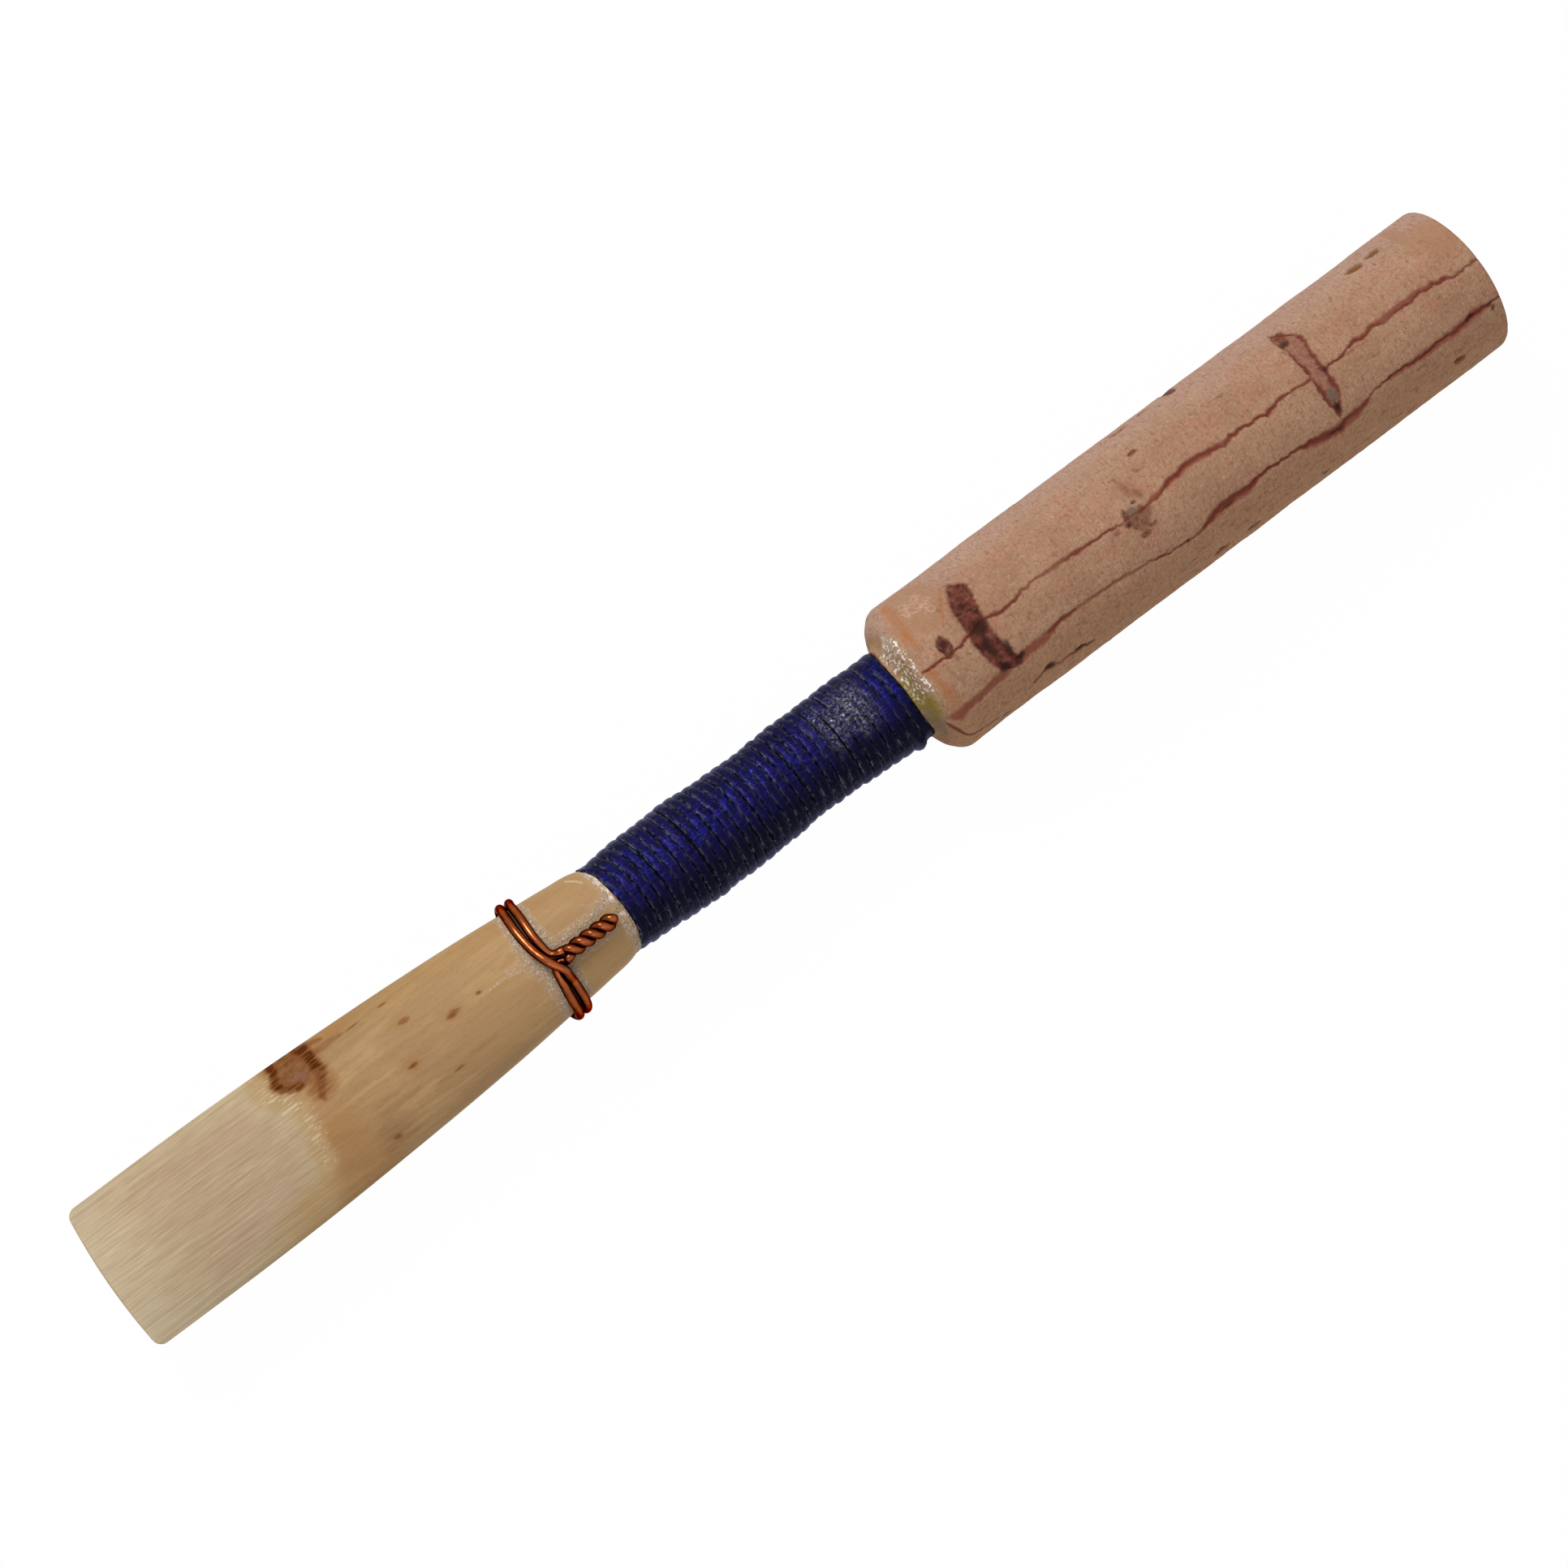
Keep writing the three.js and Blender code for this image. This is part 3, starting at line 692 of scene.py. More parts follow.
def make_lamp(name, place_at, size, power):
    """A soft square lamp that faces the reed."""
    data = bpy.data.lights.new(name, "AREA")
    data.shape = "SQUARE"
    data.size = size
    data.energy = power
    lamp = add_object(name, data)
    lamp.location = place_at
    lamp.rotation_mode = "QUATERNION"
    lamp.rotation_quaternion = Vector(place_at).to_track_quat("Z", "Y")


make_camera()
make_floor()
make_sky()
for lamp in LAMPS:
    make_lamp(*lamp)


# Blades

SCRAPE_LENGTH = 10.7
# Heights of the relief: ridges and fine ridges of the scrape, grain of the bark and the stained knot
RIDGES = 0.008
FINE_RIDGES = 0.005
BARK_GRAIN = 0.006
KNOT_RELIEF = 0.02
STEP_LENGTH = 0.6
OUTSIDE_COLUMNS = 145
INSIDE_EVERY = 4
TIP_ROWS = 14
BOUND_ROWS = 12
# Stretches of the free cane as (end, rows)
ROW_STRETCHES = [(8.6, 80), (12.4, 90), (LACQUER_START, 140)]
# Where the scrape ends, as (across, station)
SCRAPE_EDGE = [
    (-3.3, 9.1), (-2.83, 9.35), (-2.1, 9.78), (-1.27, 10.29), (-0.32, 10.46), (0.63, 10.57),
    (1.46, 10.41), (2.05, 9.95), (3.2, 9.84),
]

# Marks on the front blade as lines of (station, across, half width) and spots of
# (station, across, half length, half width)
KNOT_RINGS = [
    [(10.52, 3.3, 0.36), (10.46, 2.85, 0.32), (10.3, 2.57, 0.36), (10.24, 2.38, 0.38),
     (10.32, 2.17, 0.32), (10.54, 1.95, 0.28), (10.82, 1.83, 0.26), (11.1, 1.83, 0.2)],
    [(11.87, 3.3, 0.6), (11.97, 2.89, 0.5), (12.0, 2.55, 0.42), (11.99, 2.26, 0.4),
     (11.97, 1.85, 0.44)],
    [(11.9, 1.6, 0.36), (11.72, 1.35, 0.38), (11.53, 1.12, 0.34), (11.43, 0.83, 0.2)],
]
KNOT_STREAKS = [[(12.1, 2.55, 0.45), (13.6, 2.55, 0.22)], [(12.0, 2.98, 0.4), (12.8, 2.9, 0.2)]]
KNOT_SHADE = (11.65, 1.35, 0.9, 0.85)
KNOT_BODY = (11.1, 2.55, 0.95, 0.95)
KNOT_CORE = (11.18, 2.07, 0.36, 0.3)
GREY_PATCH = (13.1, -2.0, 1.2, 0.7)
BROWN_SPOTS = [
    (15.68, 2.5, 0.3, 0.07), (15.95, 1.42, 0.34, 0.14), (15.16, -0.3, 0.32, 0.16),
    (17.72, 0.42, 0.46, 0.2), (19.1, 0.5, 0.2, 0.12), (12.98, -2.25, 0.3, 0.14),
    (13.15, 2.55, 0.3, 0.14), (16.6, -1.5, 0.4, 0.06), (14.1, 2.5, 0.5, 0.05),
]
ORANGE_PATCHES = [
    (11.4, -0.7, 1.3, 1.1), (11.7, 1.3, 0.9, 0.9), (11.75, 1.4, 0.8, 0.8), (15.75, 1.5, 0.6, 0.4),
    (11.2, -2.3, 2.4, 1.2), (15.15, -0.3, 0.6, 0.4), (17.7, 0.4, 0.8, 0.4), (13.2, 2.9, 1.6, 0.5),
    (10.42, 2.2, 0.35, 0.35),
]
BROWN_STREAKS = [
    [(12.7, -2.1, 0.7), (14.6, -2.0, 0.4)],
    [(12.3, -2.6, 0.7), (13.9, -2.5, 0.4)],
    [(15.6, -1.6, 0.6), (18.6, -1.3, 0.4)],
    [(13.0, -1.3, 0.7), (14.8, -1.2, 0.35)],
    [(12.9, -0.8, 0.6), (14.4, -0.7, 0.3)],
]
HAIRLINES = [
    [(9.69, 1.3, 0.05), (10.4, 1.3, 0.05)],
    [(10.05, -0.26, 0.05), (10.43, -0.26, 0.05)],
    [(9.57, 2.0, 0.05), (10.23, 2.0, 0.05)],
    [(10.08, 1.71, 0.05), (10.69, 1.71, 0.05)],
    [(10.29, 0.5, 0.05), (10.57, 0.5, 0.05)],
    [(24.9, 2.05, 0.05), (25.16, 1.85, 0.06), (25.35, 1.6, 0.05)],
]
DUST_LINES = [
    [(21.77, 2.4, 0.2), (21.65, 1.57, 0.25), (21.57, 0.7, 0.35), (21.62, 0.03, 0.45),
     (21.85, -0.6, 0.4), (21.77, -1.33, 0.3), (21.74, -2.24, 0.25)],
    [(22.75, 2.4, 0.2), (22.62, 1.2, 0.2), (22.68, 0.35, 0.3)],
    [(22.8, 0.2, 0.25), (24.6, 0.22, 0.25), (25.5, 0.4, 0.3)],
    [(23.2, -0.85, 0.12), (25.3, -0.85, 0.12)],
    [(22.95, -0.9, 0.15), (22.95, -2.4, 0.15)],
    [(25.72, 2.0, 0.15), (25.85, 0.5, 0.2), (25.72, -1.0, 0.2), (25.72, -2.1, 0.15)],
]
PALE_STREAKS = [
    [(19.1, 0.28, 0.08), (20.3, 0.33, 0.05)],
    [(24.6, 0.95, 0.05), (24.95, 0.6, 0.06)],
    [(20.6, 0.33, 0.3), (21.5, 0.23, 0.4)],
]
# Painted shade, with some grime, on the cane between the wire's strands
GRIME_AND_SHADE_LINES = [
    [(22.18, 2.6, 0.18), (22.12, 1.4, 0.16), (22.2, 0.5, 0.16)],
    [(22.42, -0.95, 0.2), (22.4, -2.75, 0.22)],
]
# Stations where the glue's haze on the bark grows from none to full: over the bark, and behind the wire,
# where on the lower side it is partly painted light that lightens the shade
BARK_GLAZE = (15, 20)
TAIL_GLAZE_AND_LIGHT = (22.6, 23.2)
# Masks that are left out inside the reed
BARK_MARKS = ("stain", "knot", "mauve", "orange", "grey", "dust", "hair", "grime_and_shade")


def tip_shift(station, side):
    """The tip is crowned and cut at a slant."""
    foremost = TIP_SLANT / 2 - TIP_SLANT ** 2 / TIP_CROWN / 16
    fade = np.maximum(0, 1 - station / SCRAPE_LENGTH)
    return (TIP_CROWN * side ** 2 + TIP_SLANT * (side + 1) / 2 - foremost) * fade


def arc_height(height, width, across, roundness):
    """A blade's arc goes from a lens at the tip to a half ellipse at the throat."""
    return height * np.maximum(0, 1 - (across / width) ** 2) ** mix(1, 0.5, roundness)


def corner_width(station):
    """What the rounded corners of the tip take from the width."""
    left = np.maximum(0, TIP_CORNER - station)
    return np.sqrt(TIP_CORNER ** 2 - left ** 2) - TIP_CORNER


def scrape_edge(across, seed):
    """The station where the scrape ends: a U with short teeth."""
    teeth = 0.04 * noise(seed, across / 0.11) + 0.05 * noise(seed + 1, across / 0.45)
    return spline(*zip(*SCRAPE_EDGE), across) + teeth


def blade_stations():
    stretches = [TIP_CORNER * (1 - np.cos(np.linspace(0, TURN / 4, TIP_ROWS)[:-1]))]
    start = TIP_CORNER
    for end, rows in ROW_STRETCHES:
        stretches.append(np.linspace(start, end, rows)[:-1])
        start = end
    return np.concatenate([*stretches, np.linspace(LACQUER_START, CANE_END, BOUND_ROWS)])


def blade_outside(station, across, seed):
    """Half height outside, half width and scraped share of one blade."""
    width, bound_height = cane_size(station)
    step = STEP_LENGTH * mix(1, 3, smooth(-across, 0.9, 2.2))
    scraped = 1 - smooth((station - scrape_edge(across, seed)) / step + 0.5)
    wall = mix(CANE_WALL, mix(TIP_WALL, SCRAPE_END_WALL, clamp(station / SCRAPE_LENGTH)), scraped)
    ridges = fractal(seed + 5, 3, station / 4, across / 0.16) * RIDGES
    ridges = ridges + noise(seed + 9, station / 1.1, across / 0.07) * FINE_RIDGES
    grain = fractal(seed + 7, 2, station / 7, across / 0.3) * BARK_GRAIN
    relief = mix(grain, ridges * mix(0.4, 1, smooth(station, 0.0, 2.0)), scraped)
    wall = wall + relief * smooth(width - np.abs(across), 0.0, 0.2)
    height = np.where(station < STAPLE_START, bore_height(station) + wall, bound_height - SEAM / 2)
    return height, width, scraped


def blade_masks(station, across, scraped, seed):
    """Where the colours of either blade change."""
    inside = scrape_edge(across, seed) - station
    side = np.abs(across) / TIP_HALF_WIDTH
    wobble = fractal(seed + 11, 3, station / 0.9, across / 0.7) * 0.35
    heart = smooth(station + wobble * 2, 0.8, 5.0) * smooth(inside + wobble, 0.5, 1.9)
    band = smooth(inside, -0.15, 0.15) * (1 - smooth(inside + wobble, 0.4, 1.1))
    low_band = smooth(-across - wobble, 1.2, 2.6) * smooth(station - across * 0.6 + wobble, 7.0, 9.8)
    fray = smooth(inside, -0.45, -0.15) * (1 - smooth(inside + wobble, 0.35, 0.85))
    tip = (1 - smooth(station + wobble * 2, 0.8, 3.6)) * 0.8 + (1 - smooth(station, 0.0, 0.35)) * 0.5
    clear = 0.2 * smooth(station, *BARK_GLAZE)
    return dict.fromkeys(BARK_MARKS, np.zeros(station.shape)) | {
        "scraped": scraped,
        "heart": heart * smooth(0.95 - side, 0, 0.3),
        "band": clamp(np.maximum(band * 0.8, low_band * scraped)),
        "fray": clamp(fray * smooth(across, -2.3, -1.6)),
        "tip": clamp(tip),
        "orange": clamp((1 - smooth(-inside, 0.0, 1.6)) * (1 - scraped) * (0.3 + wobble)) * 0.5,
        # Glue haze; behind the wire, on the lower side, partly painted light that lightens the shade
        "glaze_and_painted_light": clear + 0.35 * smooth(station, *TAIL_GLAZE_AND_LIGHT) * smooth(-across, 0.4, 1.8),
        # Painted shade towards +Y, with a yellower tone of the bark
        "flank_shade": smooth(across / TIP_HALF_WIDTH, 0.3, 0.85),
        "dust": (1 - smooth(LACQUER_START - station, 0.0, 0.4)) * 0.4,
    }


def front_marks(station, across, masks, seed):
    """The knot, spots and glue marks of the front blade."""
    along = station + fractal(31, 3, station / 0.4, across / 0.15) * 0.09
    aside = across + fractal(35, 3, station / 0.6, across / 0.4) * 0.05
    rings = most(
        smooth(near_lines(along, aside, KNOT_RINGS), -0.2, 0.85),
        smooth(near_lines(along, aside, KNOT_RINGS, 2)) * 0.4,
    )
    stain = most(
        rings * mix(0.6, 1.0, smooth(across, 1.0, 2.4)),
        near_spots(along, aside, [KNOT_SHADE]) * 0.42,
        smooth(near_lines(along, aside, KNOT_STREAKS), 0.0, 1.2) * 0.5,
        smooth(near_lines(along, aside, BROWN_STREAKS), 0.0, 1.3) * 0.2,
        near_spots(along, aside, BROWN_SPOTS) * 0.55,
    )
    orange = masks["orange"] + sum(near_spots(along, aside, [patch]) * 0.36 for patch in ORANGE_PATCHES)
    dust = most(
        masks["dust"],
        smooth(near_lines(station, across, DUST_LINES, 1.5), 0.0, 0.9) * 0.85,
        smooth(near_lines(station, across, PALE_STREAKS), 0.0, 0.8) * 0.5,
    )
    return {
        "stain": clamp(stain),
        "knot": smooth(near_spots(along, aside, [KNOT_BODY]), 0.0, 0.45) * 0.95,
        "mauve": smooth(near_spots(along, aside, [KNOT_CORE]), 0.0, 0.8) * 0.7,
        "hair": smooth(near_lines(station, across, HAIRLINES), 0.0, 0.6),
        # Painted shade, with some grime, between the wire's strands
        "grime_and_shade": smooth(near_lines(station, across, GRIME_AND_SHADE_LINES), 0.0, 0.7) * 0.9,
        "orange": clamp(orange * smooth(station - scrape_edge(across, seed), -0.7, 0.5)),
        "grey": near_spots(along, aside, [GREY_PATCH]) * 0.4,
        "dust": clamp(dust),
    }


def make_blade(name, facing, seed, marked, material):
    """One blade as a closed shell: its outside, its inside and its ends."""
    stations = blade_stations()[:, None]
    spread = np.linspace(0, 1, OUTSIDE_COLUMNS)
    side = (0.55 * (1 - 2 * spread) + 0.45 * np.cos(spread * math.pi))[None, :]
    cut = corner_width(stations)
    station = stations + tip_shift(stations, side)
    across = side * (cane_size(station)[0] + cut)
    roundness = clamp(station / STAPLE_START * 1.4)
    height, width, scraped = blade_outside(station, across, seed)
    masks = blade_masks(station, across, scraped, seed)
    if marked:
        masks |= front_marks(station, across, masks, seed)
        height = height + masks["stain"] * fractal(51, 2, station / 0.3, across / 0.3) * KNOT_RELIEF
    up = arc_height(height, width, across, roundness)
    outside = place(station, across, facing * (SEAM / 2 + up))

    inner = np.s_[:, ::INSIDE_EVERY]
    inner_station = station[inner]
    free = inner_station < STAPLE_START
    edge_wall = mix(TIP_EDGE_WALL, THROAT_HALF_WIDTH - THROAT_BORE[0], clamp(inner_station / STAPLE_START))
    brass = staple_size(np.maximum(inner_station, STAPLE_START))
    inner_width = np.where(free, cane_half_width(inner_station) - edge_wall, brass[0] + FIT)
    inner_height = np.where(free, bore_height(inner_station), brass[1] + FIT)
    inner_across = side[inner] * (inner_width + cut)
    inner_up = arc_height(inner_height, inner_width, inner_across, roundness[inner])
    inside = place(inner_station, inner_across, facing * (SEAM / 2 + inner_up))[:, ::-1]

    points = np.concatenate([outside, inside], axis=1)
    rows, columns = points.shape[:2]
    faces = grid_faces(rows, columns)
    for row in (0, rows - 1):
        start = row * columns
        for step in range(inside.shape[1] - 1):
            strip = [start + step * INSIDE_EVERY + column for column in range(INSIDE_EVERY + 1)]
            strip += [start + columns - 2 - step, start + columns - 1 - step]
            faces.append(strip if row else strip[::-1])
    for mask, values in masks.items():
        inner_values = values[inner][:, ::-1] * (mask not in BARK_MARKS)
        masks[mask] = np.concatenate([values, inner_values], axis=1)
    slot = "front_cane" if marked else "back_cane"
    make_piece(name + "_cane", points, faces, material, name, slot, masks)


# Thread

THREAD_PITCH = 0.49
STRAND_HALF_WIDTH = 0.262
STRAND_HALF_HEIGHT = 0.13
STRAND_RISE = 0.06
THREAD_OVERLAP = 0.13
# How far the wound thread leans, as (station, across)
THREAD_LEAN = [
    (26, 0.0), (29, -0.01), (31, -0.05), (32.5, -0.085), (34.2, -0.07), (36.5, 0.03), (38.5, 0.0),
    (41, -0.07), (41.4, -0.07),
]
STRAND_SIDES = 14
STRAND_STEPS = 72
HITCH_TURNS = 2.4
PLY_HEIGHT = 0.012
PLY_TWISTS = 9.0
START_LEAD = 0.2
END_LAG = 0.26
LAG_LENGTH = 2.4
# Stations where the lag fades on the cork
LAG_FADE = (42, 43.4)
# A crossing at the low side: station, half length, share of the half width, half size of it, height
CROSSING = (40.9, 0.22, -0.97, 0.13, 0.17)
# The crusted patch: station and half length
CRUST = (38.5, 1.15)
LAYER_COLUMNS = 72
LAYER_ROWS = 60
LAYER_TOP = 0.1
LAYER_BOTTOM = 0.01


def thread_surface(station, angle, rise):
    """A point a rise above what the thread lies on."""
    width, height = under_thread(station)
    lean = spline(*zip(*THREAD_LEAN), station)
    return place(station, lean + (width + rise) * np.cos(angle), (height + rise) * np.sin(angle))


def sideways(angle):
    """1 at the sides and the back of the reed, 0 on its front."""
    return 1 - smooth(np.sin(angle), 0.25, 0.95)


def end_lag(station, angle):
    """How much later the glued end lies at the sides than on the front."""
    along = smooth(station, THREAD_END - LAG_LENGTH, THREAD_END) * (1 - smooth(station, *LAG_FADE))
    return END_LAG * sideways(angle) * along


def make_thread(material):
    """One strand wound from the cane's throat to the glue, over a thin layer that closes the gaps and is
    painted dark as shade.
    """
    start = THREAD_START - THREAD_OVERLAP
    turns = (THREAD_END - start - 2 * STRAND_HALF_WIDTH) / THREAD_PITCH
    turn = np.linspace(0, turns, int(turns * STRAND_STEPS))[:, None]
    around = circle(STRAND_SIDES)
    angle = turn * TURN
    aside = np.cos(angle)
    front = np.sin(angle)
    sway = 0.035 * noise(61, aside * 0.8, front * 0.8, turn * 1.7)
    sway = sway + 0.02 * noise(62, turn * 9.0) + 0.025 * noise(64, turn * 1.1)
    ends = smooth(turn, 0.0, 0.3) * smooth(turns - turn, 0.0, 0.3)
    hitch = smooth(turn, turns - HITCH_TURNS, turns - HITCH_TURNS + 0.2)
    first = 1 - smooth(turn, 0.9, 1.2)
    half_width = STRAND_HALF_WIDTH * (1 + 0.12 * hitch + 0.06 * first)
    half_height = STRAND_HALF_HEIGHT * (1 - 0.15 * first) * mix(0.8, 1, ends)
    level = STRAND_RISE + 0.045 * noise(63, turn * 0.6, aside, front) - 0.02 * first
    ply = PLY_HEIGHT * np.sin(turn * TURN * PLY_TWISTS + around * 2)
    station = start + half_width + THREAD_PITCH * turn + sway * ends + half_width * np.cos(around)
    station = clamp(station, start - 0.03, THREAD_END + 0.02)
    lead = START_LEAD * sideways(angle) * (1 - smooth(station, start, start + LAG_LENGTH))
    station = station + end_lag(station, angle) - lead
    middle, length, side, size, lift = CROSSING
    knot = lift * np.exp(-((station - middle) / length) ** 2 - ((aside - side) / size) ** 2)
    knot = knot * (0.6 + 0.4 * (front > -0.5))
    round_top = np.sign(np.sin(around)) * np.abs(np.sin(around)) ** 0.8
    points = thread_surface(station, angle, level + knot + (half_height + ply) * round_top).reshape(-1, 3)
    faces = grid_faces(len(turn), STRAND_SIDES)
    faces.append(list(range(STRAND_SIDES))[::-1])
    faces.append(list(range(len(points) - STRAND_SIDES, len(points))))
    middle, length = CRUST
    crust = np.exp(-((station - middle) / length) ** 4) * smooth(front, 0.3, 0.9)
    # The film and its painted glints are strongest on the +Y side and near the lower edge
    film_and_glint = 0.4 + 0.6 * smooth(aside, -0.2, 0.8) + 0.5 * (1 - smooth(np.abs(aside + 0.75), 0.0, 0.3))
    ragged = aside * 2.2 + 0.5 * noise(67, station / 0.4, aside * 4)
    wander = aside + 0.3 * noise(65, station / 0.6, aside * 3)
    masks = {
        # Painted shade where the strand's section turns down into the creases
        "valley_shade": 1 - smooth(np.sin(around), 0.15, 0.75),
        "film_and_glint": film_and_glint * np.exp(-((np.sin(around) - 0.5) / 0.22) ** 2),
        "crust": crust * smooth(ragged, -0.8, 0.7) * (1 - smooth(ragged, 1.1, 2.2)),
        "shade": np.maximum(smooth(-aside, -0.05, 0.65), 0.7 * smooth(aside, 0.66, 0.95)),
        "glint": smooth(wander, -0.6, 0.35) * (1 - smooth(wander, 0.35, 1.0)),
    }

    # The layer below, painted dark all over as the shade between the turns
    angle = circle(LAYER_COLUMNS)
    low = np.linspace(THREAD_START + 0.05, THREAD_END - 0.05, LAYER_ROWS)[:, None]
    sheets = thread_surface(low, angle, LAYER_TOP), thread_surface(low, angle, LAYER_BOTTOM)[::-1]
    layer, layer_faces = shell(*sheets, start=len(points))
    layer = layer.reshape(-1, 3)
    for name, values in masks.items():
        below = np.full(len(layer), float(name == "valley_shade"))
        masks[name] = np.concatenate([np.broadcast_to(values, station.shape).ravel(), below])
    make_piece("thread_winding_strand", np.concatenate([points, layer]), faces + layer_faces, material,
               "thread_winding", "thread", masks)


# Wire

WIRE_RADIUS = 0.2
WIRE_SIDES = 18
WIRE_STEPS = 700
TAIL_TWISTS = 2.25
TAIL_STEPS = 22
TAIL_LENGTH = 2.38
TAIL_CLEAR = 0.49
TAIL_LEAD = 0.76
TAIL_OFFSET = -0.39
TWIST_RADIUS = 0.178
TURN_SPACING = 0.43
TAIL_START = LACQUER_START - TAIL_CLEAR - TAIL_LENGTH

# The wire's way around the cane, close to the CAD source's: a share of the spacing of its turns towards
# the thread, a share of a turn from +Y over the front blade, and a lift as a share of the spacing
WIRE_WAY = [
    (1.28, 0.259, 0.42), (0.92, 0.258, 0.25), (0.55, 0.253, 0.08), (0.3, 0.24, 0), (0.22, 0.22, 0),
    (0.2, 0.19, 0), (0.31, 0.157, 0), (0.5, 0.114, 0), (0.7, 0.055, 0), (0.98, 0, 0), (0.95, -0.06, 0),
    (0.88, -0.15, 0), (0.88, -0.25, 0), (0.88, -0.35, 0), (0.93, -0.45, 0), (0.98, -0.51, 0),
    (1.02, -0.56, 0), (0.98, -0.6, 0), (0.92, -0.636, 0), (0.84, -0.665, 0.15), (0.66, -0.69, 0.75),
    (0.6, -0.704, 1.02), (0.2, -0.72, 1.02), (-0.27, -0.738, 0.98), (-0.6, -0.76, 0.72),
    (-0.75, -0.782, 0.35), (-0.79, -0.81, 0.05), (-0.78, -0.843, 0), (-0.62, -0.886, 0),
    (-0.34, -0.94, 0), (-0.1, -0.99, 0), (-0.07, -1.04, 0), (-0.12, -1.15, 0), (-0.12, -1.25, 0),
    (-0.12, -1.35, 0), (-0.04, -1.45, 0), (0, -1.51, 0), (-0.07, -1.565, 0), (-0.2, -1.61, 0),
    (-0.21, -1.64, 0), (-0.14, -1.667, 0), (-0.06, -1.69, 0), (0.03, -1.706, 0), (0.3, -1.717, 0),
    (0.8, -1.721, 0.03), (1.28, -1.716, 0.3),
]


def strand_point(share, strand):
    """A place on one of the two strands twisted into the tail."""
    station = TAIL_START + share * TAIL_LENGTH
    angle = (share * TAIL_TWISTS + strand / 2) * TURN
    middle = float(cane_size(station)[1]) + FIT + TWIST_RADIUS + WIRE_RADIUS
    swing = TWIST_RADIUS * (1 - 0.12 * smooth(share, 0.85, 1.0))
    return [station, TAIL_OFFSET + swing * math.cos(angle), middle + swing * math.sin(angle)]


def wire_point(ahead, turns, lift):
    """A place of the wire's middle on the cane."""
    station = TAIL_START - TAIL_LEAD + ahead * TURN_SPACING
    width, height = cane_size(station)
    rise = FIT / 2 + WIRE_RADIUS + lift * TURN_SPACING
    angle = turns * TURN
    return [station, float(width + rise) * math.cos(angle), float(height + rise) * math.sin(angle)]


def wire_path():
    """One wire: back along the tail, twice around the cane with one crossing, and out along the tail."""
    counts = np.arange(len(WIRE_WAY))
    way = spline(counts, WIRE_WAY, np.linspace(0, counts[-1], 4 * len(counts)))
    points = [strand_point(step / TAIL_STEPS, 0) for step in range(TAIL_STEPS, -1, -1)]
    points.extend(wire_point(*place_on_way) for place_on_way in way)
    points.extend(strand_point(step / TAIL_STEPS, 1) for step in range(TAIL_STEPS + 1))
    points = np.array(points)
    ways = np.concatenate([[0], np.cumsum(np.linalg.norm(np.diff(points, axis=0), axis=1))])
    return spline(ways, points, np.linspace(0, ways[-1], WIRE_STEPS))


def make_wire(material):
    """The wire as one round tube, with painted shade where it doesn't face away from the reed and a painted
    highlight where it faces straight out.
    """
    path = wire_path()
    points, faces = tube(path, WIRE_RADIUS, WIRE_SIDES)
    nearest = path[np.clip(np.arange(len(points)) // WIRE_SIDES - DOME_STEPS, 0, len(path) - 1)]
    out = nearest * (0, 1, 1)
    out /= np.linalg.norm(out, axis=1, keepdims=True)
    facing = ((points - nearest) * out).sum(axis=1) / WIRE_RADIUS
    # Painted shade where the wire doesn't face away from the reed, and a painted highlight where it faces
    # straight out
    masks = {"painted_shade": 1 - smooth(facing, 0.15, 0.95), "painted_highlight": smooth(facing, 0.86, 1.0) * 0.7}
    make_piece("binding_wire_turns", place(*points.T), faces, material,
               "binding_wire", "copper_wire", masks)


# Cork

SHOULDER_LENGTH = 0.9
SHOULDER_DROP = 0.75
RIM_BREAK = 0.15
CORK_ROW = 0.07
FINE_GIRTH = 5.0
FINE_COLUMN = 0.055
COARSE_COLUMNS = 104
CORK_LUMPS = 0.05
CORK_SKIN = 0.012
CORK_BULGE = 0.01
FACE_ROUGHNESS = 0.03
FACE_DEPTH = 0.02
BORE_GAP = 0.01
FACE_ROWS = 9
BORE_ROWS = 14
RIM_ROWS = 6
WHOLE_GIRTH = TURN * CORK_RADIUS
# The rounded shoulder: how much of the drop is left at shares of its length
SHOULDER_SHARES = [0, 0.12, 0.24, 0.37, 0.48, 0.6, 0.83, 1]
SHOULDER_DROPS = [1, 0.69, 0.51, 0.36, 0.23, 0.13, 0.04, 0]

